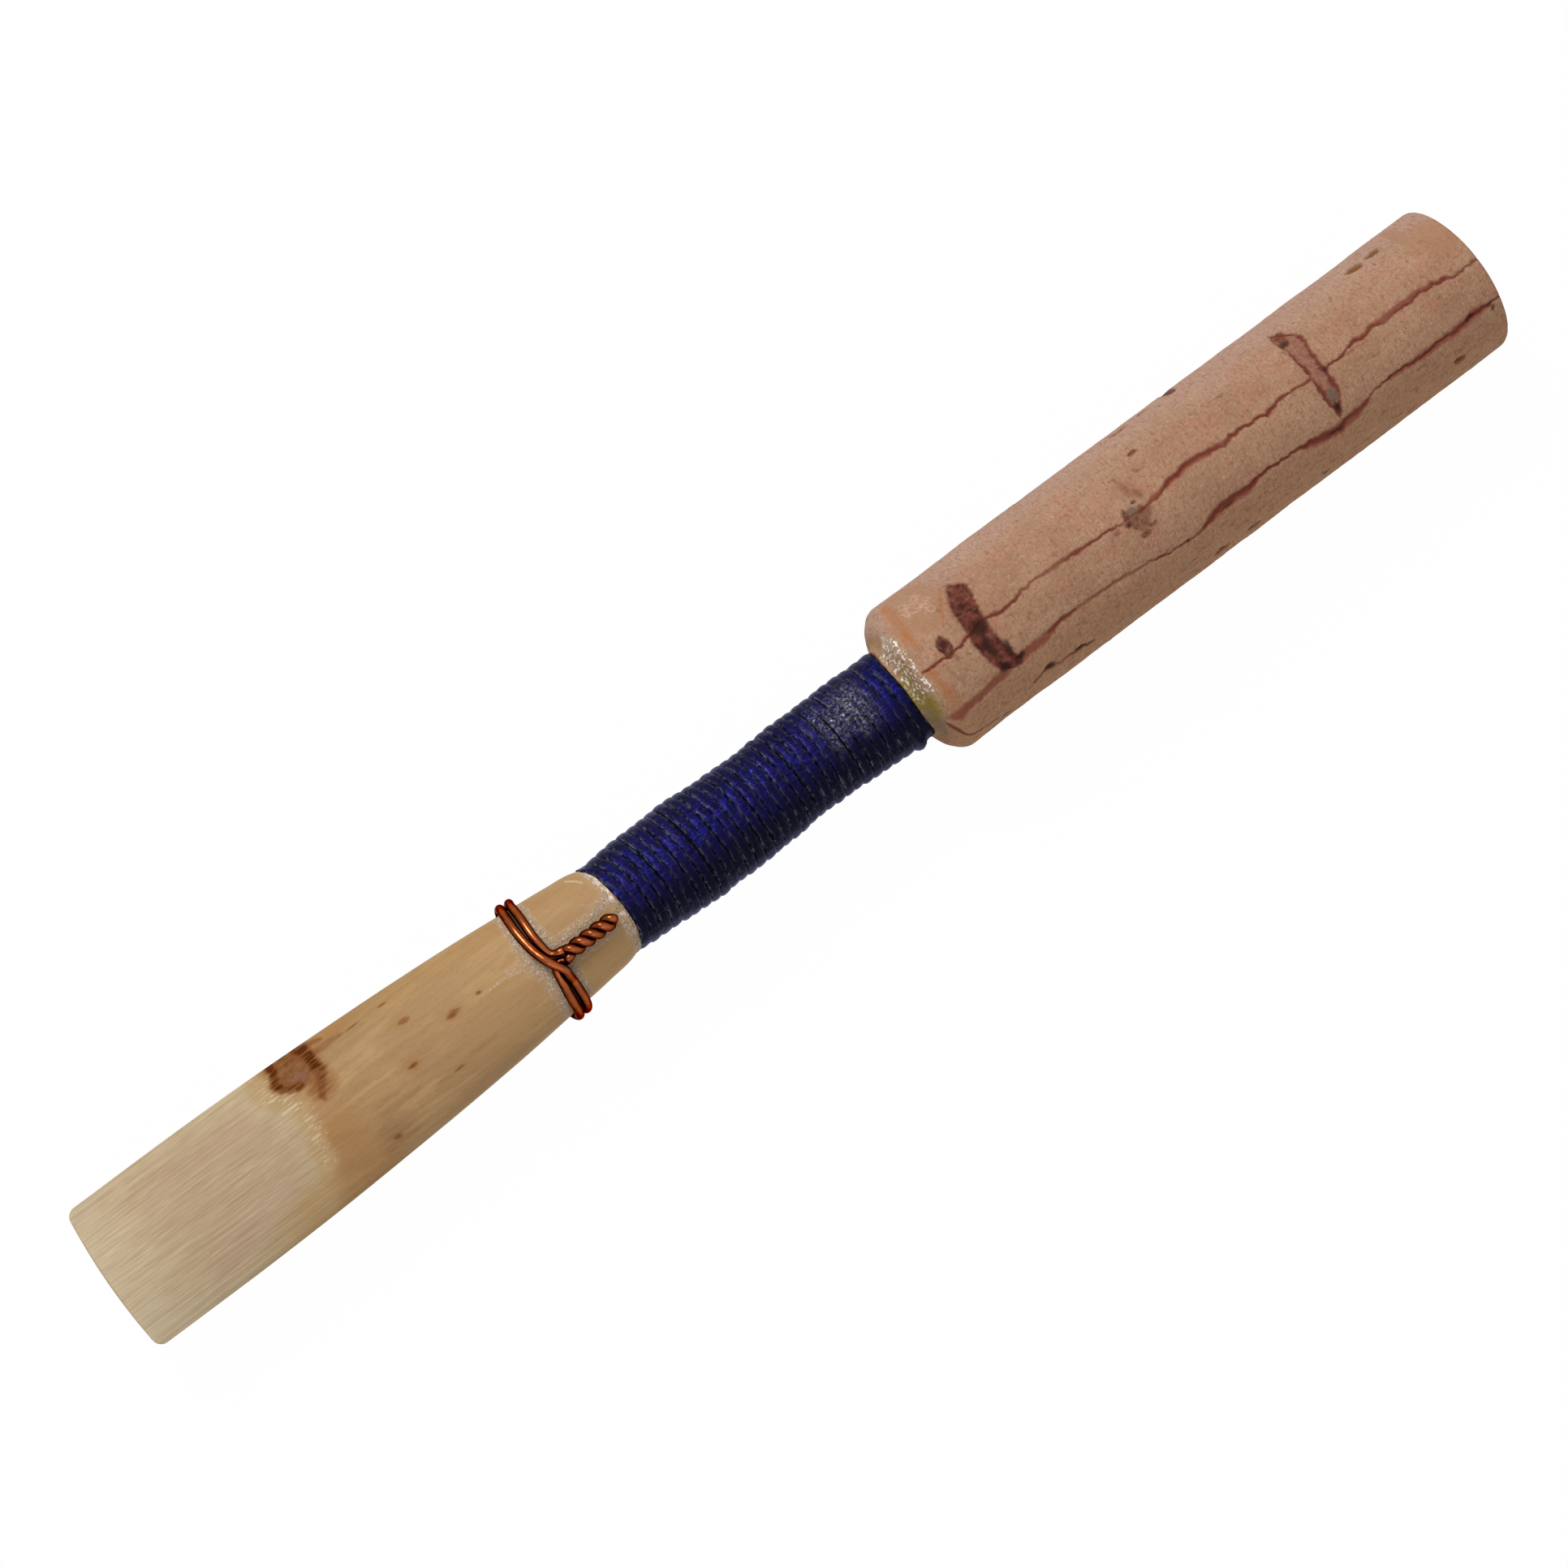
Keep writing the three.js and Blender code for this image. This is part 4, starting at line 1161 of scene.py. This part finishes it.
# Marks on the cork as lines of (station, girth, half width) and spots of
# (station, girth, half length, half width)
FRONT_CRACK = [
    (42.06, -0.09, 0.08), (42.71, -0.08, 0.07), (43.33, -0.02, 0.06), (43.85, -0.04, 0.07),
    (44.33, -0.18, 0.07), (45.56, -0.36, 0.07), (46.13, -0.23, 0.08), (46.84, -0.21, 0.06),
    (47.25, -0.35, 0.09), (48.14, -0.45, 0.05), (49.31, -0.36, 0.1), (49.7, -0.4, 0.09),
    (50.4, -0.3, 0.09), (51.9, -0.25, 0.05), (52.9, -0.1, 0.05), (54.6, -0.1, 0.05), (55.4, -0.3, 0.06),
    (56.6, -0.55, 0.09), (57.7, -0.45, 0.09), (58.5, -0.2, 0.09), (59.4, -0.4, 0.08),
    (60.06, -0.27, 0.07), (60.56, -0.32, 0.06), (60.91, -0.16, 0.09), (61.32, -0.28, 0.1),
    (61.85, -0.35, 0.07), (62.63, -0.34, 0.06), (63.4, -0.25, 0.07), (64.49, -0.23, 0.06),
    (64.95, -0.21, 0.06), (65.36, -0.32, 0.06), (65.65, -0.42, 0.05), (66.2, -0.38, 0.06),
    (66.74, -0.4, 0.06), (67.32, -0.44, 0.06), (67.91, -0.33, 0.06), (68.39, -0.38, 0.05),
    (69.2, -0.36, 0.06), (69.9, -0.44, 0.05), (70.5, -0.36, 0.06), (71.0, -0.3, 0.07),
    (71.5, -0.12, 0.06), (72.9, -0.15, 0.06),
]
LOW_CRACK = [
    (53.3, 2.1, 0.05), (54.0, 2.25, 0.06), (55.4, 2.4, 0.06), (56.2, 2.2, 0.12), (57.0, 1.9, 0.14),
    (58.4, 2.0, 0.14), (59.2, 1.85, 0.09), (60.8, 1.95, 0.07), (61.48, 1.99, 0.1), (62.16, 2.13, 0.14),
    (62.86, 2.33, 0.16), (63.56, 2.44, 0.18), (63.93, 2.19, 0.1), (64.74, 2.26, 0.1),
    (65.09, 2.2, 0.09), (65.44, 1.9, 0.06), (66.92, 1.79, 0.05), (68.2, 1.98, 0.07), (69.3, 1.88, 0.06),
    (70.2, 1.96, 0.08), (71.3, 1.85, 0.1), (72.9, 1.9, 0.05),
]
SOFT_BANDS = [
    [(42.18, 2.56, 0.4), (42.63, 2.38, 0.36), (43.37, 2.32, 0.3), (44.15, 2.23, 0.3),
     (45.1, 2.1, 0.34)],
    [(45.9, 2.0, 0.4), (46.53, 1.95, 0.4), (47.31, 1.9, 0.3), (47.84, 1.76, 0.2), (49.0, 1.7, 0.12)],
    [(55.9, 2.3, 0.14), (56.4, 2.1, 0.34), (57.2, 1.95, 0.36), (58.4, 2.05, 0.34), (59.0, 1.9, 0.14)],
    [(61.6, 2.05, 0.2), (62.3, 2.2, 0.4), (63.2, 2.4, 0.42), (64.4, 2.3, 0.4), (65.2, 2.15, 0.2)],
    [(66.5, 1.85, 0.14), (68.6, 1.95, 0.3), (70.4, 1.95, 0.32), (71.6, 1.85, 0.34), (72.3, 1.9, 0.14)],
    [(53.9, -0.1, 0.1), (55.6, -0.35, 0.22), (56.7, -0.5, 0.26), (58.2, -0.35, 0.2),
     (59.4, -0.35, 0.12)],
    [(65.8, -0.45, 0.1), (67.8, -0.5, 0.2), (70.0, -0.5, 0.2), (71.2, -0.3, 0.12)],
]
FAINT_CRACK = [
    (47.5, 1.8, 0.1), (48.8, 1.7, 0.09), (51.0, 1.75, 0.08), (52.9, 2.0, 0.06), (53.5, 2.12, 0.05),
]
SIDE_CRACK = [
    (46.0, 3.7, 0.05), (46.9, 3.4, 0.1), (47.5, 3.65, 0.06), (48.6, 3.7, 0.1), (49.4, 3.95, 0.05),
]
SHOULDER_SEAM = [
    (41.7, 2.95, 0.06), (41.97, 3.45, 0.1), (42.2, 4.05, 0.09), (42.46, 4.2, 0.08), (43.26, 4.31, 0.06),
    (44.0, 4.38, 0.05),
]
BACK_CRACKS = [
    [(44.0, 7.6, 0.06), (48.0, 7.2, 0.1), (53.0, 7.9, 0.07), (58.0, 7.4, 0.12), (63.0, 7.7, 0.07),
     (69.0, 7.3, 0.1), (72.9, 7.5, 0.07)],
    [(42.6, 10.6, 0.08), (46.5, 10.9, 0.06), (52.0, 10.4, 0.1), (57.0, 10.9, 0.07), (64.0, 10.5, 0.09),
     (72.9, 10.8, 0.06)],
    [(43.5, -6.6, 0.06), (50.0, -6.2, 0.09), (55.5, -6.7, 0.06), (60.0, -6.4, 0.1), (67.0, -6.8, 0.07),
     (72.9, -6.5, 0.08)],
]
SMALL_BARS = [
    (43.38, -0.42, 0.34, 0.58), (50.5, 9.2, 0.5, 1.9), (66.4, -8.9, 0.45, 1.6), (59.0, -5.2, 0.35, 0.9),
]
# Outlines of the two bars as (girth, station of the left edge, station of the right edge)
NEAR_BAR = [
    (-2.75, 45.2, 45.4), (-2.2, 44.88, 45.92), (-1.6, 44.6, 45.8), (-0.65, 44.48, 45.59),
    (0, 44.41, 45.5), (0.6, 44.41, 45.53), (1.3, 44.57, 45.68), (1.75, 44.77, 45.83),
    (2.1, 45.07, 46.03), (2.3, 45.6, 45.9),
]
FAR_BAR = [
    (-3.2, 63.6, 63.7), (-2.6, 63.45, 64.3), (-1.95, 63.52, 64.58), (-1.4, 63.48, 64.43),
    (-0.8, 63.49, 64.38), (-0.1, 63.51, 64.32), (0.5, 63.47, 64.33), (0.95, 63.48, 64.33),
    (1.25, 63.53, 64.17), (1.65, 63.6, 63.97), (2.05, 63.68, 63.76),
]
DARK_SPOTS = [
    (45.0, -0.25, 0.6, 0.5), (54.9, 2.3, 0.15, 0.08), (63.75, -2.35, 0.32, 0.3),
    (64.34, -0.25, 0.1, 0.2), (63.8, 1.5, 0.22, 0.45), (47.0, 3.4, 0.4, 0.26), (48.55, 3.72, 0.4, 0.22),
    (71.2, 1.9, 0.4, 0.1), (72.35, 2.15, 0.14, 0.2), (57.3, 2.1, 0.6, 0.06), (63.3, 2.42, 0.5, 0.08),
    (44.5, 4.6, 0.35, 0.1), (62.4, 4.4, 0.3, 0.12), (45.95, 1.9, 0.3, 0.2), (45.62, 1.3, 0.2, 0.6),
    (45.1, 1.9, 0.4, 0.3), (43.42, -0.6, 0.2, 0.3), (53.1, 0.15, 0.16, 0.14), (53.75, -0.6, 0.16, 0.12),
    (44.95, 0.7, 0.3, 0.8),
]
PITS = [
    (68.75, -3.6, 0.55, 0.3), (69.85, -3.68, 0.42, 0.22), (70.15, 3.5, 0.36, 0.2),
    (56.5, 4.3, 0.5, 0.2), (58.3, 4.35, 0.4, 0.16), (56.0, -4.6, 0.5, 0.18), (57.4, -4.7, 0.4, 0.16),
    (51.0, 6.0, 0.4, 0.2), (61.0, 8.6, 0.5, 0.25), (47.5, -8.0, 0.4, 0.25), (70.6, -9.6, 0.35, 0.3),
    (54.2, 9.4, 0.3, 0.2),
]
SMEARS = [
    (53.85, -1.25, 0.2, 0.6), (54.15, -0.8, 0.24, 0.4), (43.5, 0.2, 0.2, 0.3), (52.4, 0.05, 0.24, 0.16),
]
BROWN_MARKS = [
    (55.35, -2.55, 0.26, 0.17), (53.15, -0.2, 0.16, 0.4), (53.85, -0.1, 0.14, 0.35),
    (53.5, 0.85, 0.36, 0.14), (54.0, 0.65, 0.26, 0.12), (63.85, -2.8, 0.3, 0.4), (53.3, 0.4, 0.2, 0.12),
    (63.6, 2.3, 0.3, 0.14),
]
HALOS = [
    (53.6, 0.2, 1.1, 1.1), (54.0, -1.2, 0.8, 0.9), (52.2, 0.2, 0.6, 0.6), (63.9, -0.4, 0.9, 2.6),
    (57.0, -0.4, 1.6, 0.4), (70.0, -0.3, 2.4, 0.3), (45.1, 0.0, 1.0, 2.9), (71.3, 1.8, 1.4, 0.5),
]
ORANGE_LINES = [
    [(42.6, -4.2, 0.5), (42.56, -3.34, 0.55), (42.46, -2.46, 0.5), (42.42, -1.7, 0.36),
     (42.45, -1.0, 0.24)],
    [(42.3, 0.0, 0.3), (42.28, 0.6, 0.36), (42.36, 1.5, 0.4), (42.38, 2.4, 0.36)],
    [(44.95, -2.9, 0.1), (44.4, -1.9, 0.12), (43.9, -1.2, 0.1)],
]
STAINS = [(43.6, -3.1, 1.35, 1.95), (72.2, -2.3, 0.9, 1.3), (71.2, -3.6, 0.35, 1.4)]
PLUG_GREY = (63.88, 0.85, 0.4, 0.36)
SPOT_GREY = (53.5, -0.15, 0.36, 0.4)
# Rings as (station, girth, radius)
BUBBLE_RINGS = [
    (43.54, -2.85, 0.3), (43.25, -3.36, 0.17), (44.02, -2.24, 0.16), (43.86, -3.32, 0.14),
    (43.98, -2.75, 0.13), (43.12, -2.78, 0.12),
]
BUBBLE_AREA = (43.7, -2.95, 0.95, 0.85)
# A brown wedge across the front crack, and where the glaze of the shoulder ends
WEDGE = 53.6
GLAZE_END = (41.95, 42.15)


def cork_girths():
    """Girths of the columns: close together on the marked front, wider apart behind."""
    fine = np.arange(-FINE_GIRTH, FINE_GIRTH, FINE_COLUMN)
    coarse = np.linspace(fine[-1] + FINE_COLUMN, WHOLE_GIRTH - FINE_GIRTH, COARSE_COLUMNS, endpoint=False)
    return np.concatenate([fine, coarse])


def inside_bar(station, girth, outline):
    """How far a place lies inside a bar, less than 0 outside it."""
    girths, left, right = np.array(outline).T
    ragged = 0.035 * fractal(71, 2, station / 0.6, girth / 0.9)
    ragged = ragged + 0.06 * fractal(75, 3, station / 0.2, girth / 0.14)
    across = np.minimum(station - spline(girths, left, girth), spline(girths, right, girth) - station)
    ends = np.minimum(girth - girths[0], girths[-1] - girth)
    return np.minimum(across, ends) + ragged


def cork_marks(station, girth):
    """Masks of the cork's surface, and how deep its cracks and pits are."""
    along = station + 0.09 * fractal(81, 3, station / 0.6, girth / 0.6)
    around = girth + 0.085 * fractal(85, 4, station / 0.24, girth / 0.5)

    def lines(marks, high, widen=1):
        return smooth(near_lines(along, around, marks, widen), 0.0, high)

    def spots(marks, high=1.0):
        return smooth(near_spots(along, around, marks), 0.0, high)

    cracks = [FRONT_CRACK, LOW_CRACK, SIDE_CRACK, SHOULDER_SEAM, *BACK_CRACKS]
    crack = np.maximum(lines(cracks, 0.75, 1.6), lines([FAINT_CRACK], 0.9, 1.8) * 0.72)
    thin = clamp(0.9 + 0.35 * fractal(89, 2, station / 1.3, girth / 2.0), 0.55, 1.0)
    inside = inside_bar(station, girth, FAR_BAR)
    crack = crack * thin * (1 - smooth(inside, -0.03, 0.03))
    bar = smooth(inside_bar(station, girth, NEAR_BAR), -0.07, 0.12)
    bar = np.maximum(bar, spots(SMALL_BARS, 0.35) * 0.9)
    rim_width = 0.1 + 0.1 * noise(73, station / 0.5, girth / 0.3)
    rim = smooth(inside, -0.04, 0.03) * (1 - smooth(inside, rim_width, rim_width + 0.09))
    plug = smooth(inside, 0.03, 0.12)
    band = lines(SOFT_BANDS, 0.7)
    dark = spots(DARK_SPOTS) * 0.85
    pit = spots(PITS, 0.55)
    wedge = 0.8 * clamp(1 - (around - 0.05) / 0.95) - np.abs(along - WEDGE)
    wedge = smooth(wedge, -0.05, 0.2) * smooth(around, -0.1, 0.05)
    smear = np.maximum(near_spots(along, around, SMEARS) * 0.55, wedge * 0.7)
    seams = 1 - smooth(np.abs(noise(94, along / 0.24, around / 0.24)), 0.0, 0.16)
    bubbles = seams * spots([BUBBLE_AREA], 0.6)
    for middle, aside, size in BUBBLE_RINGS:
        ring = np.abs(np.hypot(along - middle, around - aside) - size)
        bubbles = np.maximum(bubbles, 0.7 * (1 - smooth(ring, 0.0, 0.07)))
    specks = smooth(noise(91, station / 0.2, girth / 0.14), 0.8, 0.92) * 0.35
    freckles = smooth(noise(93, station / 0.4, girth / 0.2), 0.8, 0.95) * 0.4
    shoulder = 1 - smooth(station + 0.1 * noise(95, station, girth / 0.5), *GLAZE_END)
    drift = 0.4 * noise(96, station / 3, girth / 2)
    uneven = 0.8 + 0.4 * fractal(97, 2, station / 0.5, girth / 0.4)
    masks = {
        "crack": most(crack, specks, rim * 0.9),
        "bar": bar,
        "brown": most(spots(BROWN_MARKS, 0.6) * 0.9, smear, freckles),
        "dark": dark,
        "pit": pit,
        "plug": plug,
        "band": band,
        "grey": np.maximum(spots([SPOT_GREY], 0.6), spots([PLUG_GREY], 0.5)),
        "halo": smooth(near_spots(station, girth, HALOS)),
        "upper": smooth(-girth + drift, 1.8, 4.4),
        "lower": smooth(girth + drift, 1.2, 3.4),
        "orange": clamp(lines(ORANGE_LINES, 1.1) * uneven),
        "stain": spots(STAINS, 0.3),
        "bubbles": bubbles,
        # Glue glaze on the shoulder, which also carries painted glints
        "glaze_and_painted_light": shoulder * smooth(2.9 - np.abs(girth + 0.2), 0.0, 0.5),
    }
    tilt = fractal(99, 3, station / 0.25, girth / 0.25)
    depth = 0.05 * crack + bar * (0.05 + 0.03 * tilt) + rim * 0.08 + plug * (0.03 + 0.01 * tilt)
    depth = depth + pit * 0.16 + dark * 0.05 + smear * 0.02 + band * 0.03 - bubbles * 0.012
    return masks, depth


def cork_radius(station):
    """Radius of the outside, with its rounded shoulder and its broken rim."""
    along = clamp((station - CORK_START) / SHOULDER_LENGTH)
    drop = spline(SHOULDER_SHARES, SHOULDER_DROPS, along)
    rim = clamp((station - (CORK_END - RIM_BREAK)) / RIM_BREAK)
    return CORK_RADIUS - drop * SHOULDER_DROP - RIM_BREAK * (1 - np.sqrt(1 - rim ** 2))


def make_cork(material):
    """The sleeve: marked outside, cut end faces and a plain bore."""
    shoulder = CORK_START + np.array([0, 0.03, 0.07, 0.12])
    body = np.arange(CORK_START + 0.19, CORK_END - RIM_BREAK, CORK_ROW)
    rim = CORK_END - RIM_BREAK * (1 - np.sin(np.linspace(0, TURN / 4, RIM_ROWS)))
    station = np.concatenate([shoulder, body, rim])[:, None]
    girth = cork_girths()[None, :]
    signed_girth = (girth + WHOLE_GIRTH / 2) % WHOLE_GIRTH - WHOLE_GIRTH / 2
    masks, depth = cork_marks(*np.broadcast_arrays(station, signed_girth))
    angle = TURN / 4 + girth / CORK_RADIUS
    aside = np.cos(angle)
    front = np.sin(angle)
    lumps = CORK_LUMPS * (fractal(101, 3, station / 3.2, aside * 1.4, front * 1.4) - 0.6)
    skin = CORK_SKIN * fractal(105, 2, station / 0.3, girth / 0.3)
    radius = cork_radius(station) + np.minimum(lumps, 0) + skin - depth
    radius = np.minimum(radius, CORK_RADIUS + CORK_BULGE)
    outside = hoop(station + end_lag(station, angle), radius, radius, angle)

    # The end face is cut square, a little rough, and the bore lies on the brass
    shares = np.linspace(0, 1, FACE_ROWS)[1:, None]
    face_radius = mix(radius[-1:], np.mean(staple_size(CORK_END)) + BORE_GAP, shares)
    rough = FACE_ROUGHNESS * fractal(107, 3, face_radius / 0.4, aside * 6, front * 6)
    rough = rough * np.sin(shares * math.pi)
    end = hoop(CORK_END - FACE_DEPTH + rough, face_radius, face_radius, angle)
    bore_station = np.linspace(CORK_END, CORK_START, BORE_ROWS)[1:, None]
    width, height = staple_size(bore_station)
    inside = hoop(bore_station, width + BORE_GAP, height + BORE_GAP, angle)
    points, faces = shell(outside, end, inside)
    plain = np.zeros(points.shape[:2])[len(station):]
    all_masks = {name: np.concatenate([values, plain]) for name, values in masks.items()}
    all_masks["cut"] = np.concatenate([0 * depth, plain + 1])
    make_piece("cork_sleeve_marked", points, faces, material, "cork_sleeve", "cork", all_masks)


# Brass tube

STAPLE_BREAK = 0.05
STAPLE_ROWS = 40
STAPLE_COLUMNS = 96


def make_staple(material):
    """The tube, smooth and round at its far end, with a broken rim."""
    station = np.linspace(STAPLE_START, STAPLE_END - STAPLE_BREAK, STAPLE_ROWS)
    station = np.append(station, STAPLE_END)[:, None]
    angle = circle(STAPLE_COLUMNS)
    width, height = staple_size(station)
    ease = np.where(station > STAPLE_END - STAPLE_BREAK / 2, STAPLE_BREAK, 0)
    wall = STAPLE_WALL - ease
    outside = hoop(station, width - ease, height - ease, angle)
    inside = hoop(station, width - wall, height - wall, angle)[::-1]
    make_piece("staple_tube_smooth", *shell(outside, inside), material, "staple_tube", "staple_tube", {})


# Glue

# How far it starts on the thread, and how far it creeps over the cork in front and behind
BEAD_OVERLAP = 0.12
BEAD_CREEP = 0.3
BEAD_BACK_CREEP = 0.04
BEAD_LUMPS = 0.05
BEAD_GAP = 0.02
BEAD_ROWS = 30
BEAD_COLUMNS = 300


def make_bead(material):
    """A lumpy collar of glue from the last turn of thread over the edge of the cork."""
    angle = circle(BEAD_COLUMNS)
    aside = np.cos(angle)
    up = np.sin(angle)
    around = angle - TURN / 4
    width, height = under_thread(THREAD_END)
    thread_top = STRAND_RISE + STRAND_HALF_HEIGHT
    front = smooth(np.cos(around + 0.05), 0.55, 0.85)
    creep = mix(BEAD_BACK_CREEP, BEAD_CREEP, front) + 0.06 * noise(111, aside * 5, up * 5)
    shares = np.linspace(0, 1, BEAD_ROWS)[:, None]
    station = mix(THREAD_END - BEAD_OVERLAP, CORK_START + creep, shares)
    over_cork = smooth(station, CORK_START - 0.12, CORK_START + 0.05)
    climb = clamp((station - THREAD_END) / (CORK_START - THREAD_END)) ** 2
    cork = cork_radius(np.maximum(station, CORK_START)) + mix(-0.02, 0.04, front)
    lumps = BEAD_LUMPS * fractal(113, 3, station / 0.25, aside * 11, up * 11)
    lumps = lumps * smooth(shares, 0.0, 0.25) * mix(1, 0.5, over_cork)
    lumps = lumps - 0.1 * smooth(shares, 0.86, 1.0) - 0.1 * (1 - smooth(shares, 0.0, 0.1))
    low_width = mix(width + thread_top - 0.05, cork, climb) + lumps
    low_height = mix(height + thread_top - 0.05, cork, climb) + lumps
    lean = 0.05 * (1 - climb)
    outer = place(station + end_lag(station, angle), low_width * aside - lean, low_height * up)
    inner_station = mix(THREAD_END + BEAD_GAP, CORK_START + BEAD_GAP, shares)
    brass_width, brass_height = staple_size(inner_station)
    inner = hoop(inner_station, brass_width + BEAD_GAP, brass_height + BEAD_GAP, angle)[::-1]
    wander = 0.15 * noise(117, aside * 6, up * 6, shares * 3)
    thick = 1 - smooth(shares + wander, 0.5, 0.8)
    masks = {
        "green": smooth(np.cos(around - 0.4) + wander, 0.65, 0.95) * thick,
        # Where the glue is glossy and carries white specks, partly painted glints
        "crumbs": smooth(np.cos(around + 0.35) + wander, 0.72, 0.92) * smooth(shares, 0.08, 0.3),
        "dull": smooth(np.cos(around - 1.0) + wander, 0.85, 0.98) * 0.6,
    }
    masks = {name: np.concatenate([values, 0 * values]) for name, values in masks.items()}
    make_piece("glue_bead_collar", *shell(outer, inner), material, "glue_bead", "glue", masks)


# Dried lacquer

LACQUER_BODY = 0.09
LACQUER_REACH = 0.11
LACQUER_RISE = 0.08
LACQUER_SINK = 0.02
LACQUER_DEPTH = 0.04
LACQUER_ROWS = 8
LACQUER_COLUMNS = 220
CRUMB_SIZE = 0.018
CRUMB_GROWTH = 0.03
# Lines of (station, across, spread) points with crumbs along them, and the number of crumbs
CRUMB_LINES = [
    ([(21.75, 2.35, 0.07), (21.62, 1.5, 0.09), (21.58, 0.6, 0.14), (21.7, -0.1, 0.16),
      (21.88, -0.7, 0.14), (21.75, -2.2, 0.08)], 200),
    ([(22.75, 2.3, 0.06), (22.66, 0.5, 0.08)], 50),
    ([(22.8, 0.12, 0.06), (24.6, 0.15, 0.08), (25.5, 0.4, 0.12)], 110),
    ([(23.3, -0.85, 0.04), (25.3, -0.85, 0.04)], 20),
    ([(22.95, -1.0, 0.06), (22.95, -2.3, 0.08)], 30),
    ([(25.72, 1.8, 0.05), (25.82, 0.5, 0.07), (25.74, -1.0, 0.07), (25.7, -2.0, 0.05)], 220),
]
CRUMB_FACES = [(0, 1, 4), (1, 2, 4), (2, 3, 4), (3, 0, 4), (1, 0, 5), (2, 1, 5), (3, 2, 5), (0, 3, 5)]


def crumb(middle, size, rng):
    """A small irregular lump: a squashed octahedron with its corners pushed about."""
    corners = np.array([(1, 0, 0), (0, 1, 0), (-1, 0, 0), (0, -1, 0), (0, 0, 0.7), (0, 0, -0.7)])
    return corners * size * rng.uniform(0.6, 1.3, (6, 1)) + middle


def make_lacquer(material):
    """A ragged line of dried lacquer at the first turn of thread, and crumbs of it on the cane."""
    angle = circle(LACQUER_COLUMNS)
    aside = np.cos(angle)
    front = np.sin(angle)
    reach = LACQUER_REACH * (1 + 0.7 * noise(121, aside * 7, front * 7))
    reach = reach + 0.06 * noise(122, aside * 19, front * 19)
    shares = np.linspace(0, 1, LACQUER_ROWS)[:, None]
    station = mix(LACQUER_END - LACQUER_BODY - reach, LACQUER_END, shares)
    width, height = cane_size(np.minimum(station, STAPLE_START - 0.01))
    rise = LACQUER_RISE * np.sin(np.sqrt(shares) * math.pi * 0.6) - LACQUER_SINK
    rise = rise * (1 + 0.5 * noise(123, station / 0.1, aside * 12, front * 12))
    outer = hoop(station, width + rise, height + rise, angle)
    inner = hoop(station, width - LACQUER_DEPTH, height - LACQUER_DEPTH, angle)[::-1]
    ring, faces = shell(outer, inner)
    points = [ring.reshape(-1, 3)]
    count = len(points[0])
    crumbled = smooth(front, 0.2, 0.7) * smooth(aside, -0.45, 0.1)
    crumbled = clamp(crumbled * 0.7 + 0.9 * noise(125, aside * 15, front * 15))
    pale = [np.broadcast_to(crumbled, ring.shape[:2]).ravel()]
    rng = np.random.default_rng(127)
    for line, number in CRUMB_LINES:
        for along in rng.uniform(0, len(line) - 1, number):
            station_at, across_at, spread = spline(np.arange(len(line)), line, np.array([along]))[0]
            station_at = station_at + rng.normal(0, spread)
            across_at = across_at + rng.normal(0, spread * 0.6)
            width_at, height_at = cane_size(station_at)
            up = float(height_at) * math.sqrt(1 - min(0.98, (across_at / float(width_at)) ** 2))
            size = CRUMB_SIZE + CRUMB_GROWTH * rng.random() ** 2
            lump = crumb(np.array([station_at, across_at, up + size * 0.3]), size, rng)
            points.append(place(*lump.T))
            faces.extend([count + corner for corner in face] for face in CRUMB_FACES)
            pale.append(np.full(len(lump), rng.uniform(0.6, 1.0)))
            count += len(lump)
    make_piece("winding_lacquer_crumbs", np.concatenate(points), faces, material,
               "winding_lacquer", "lacquer", {"pale": np.concatenate(pale)})


cane = cane_material()
make_blade("front_blade", 1, 11, True, cane)
make_blade("back_blade", -1, 23, False, cane)
make_thread(thread_material())
make_wire(copper_material())
make_cork(cork_material())
make_staple(brass_material())
make_bead(glue_material())
make_lacquer(lacquer_material())

view = bpy.context.scene.view_settings
view.view_transform = "Standard"
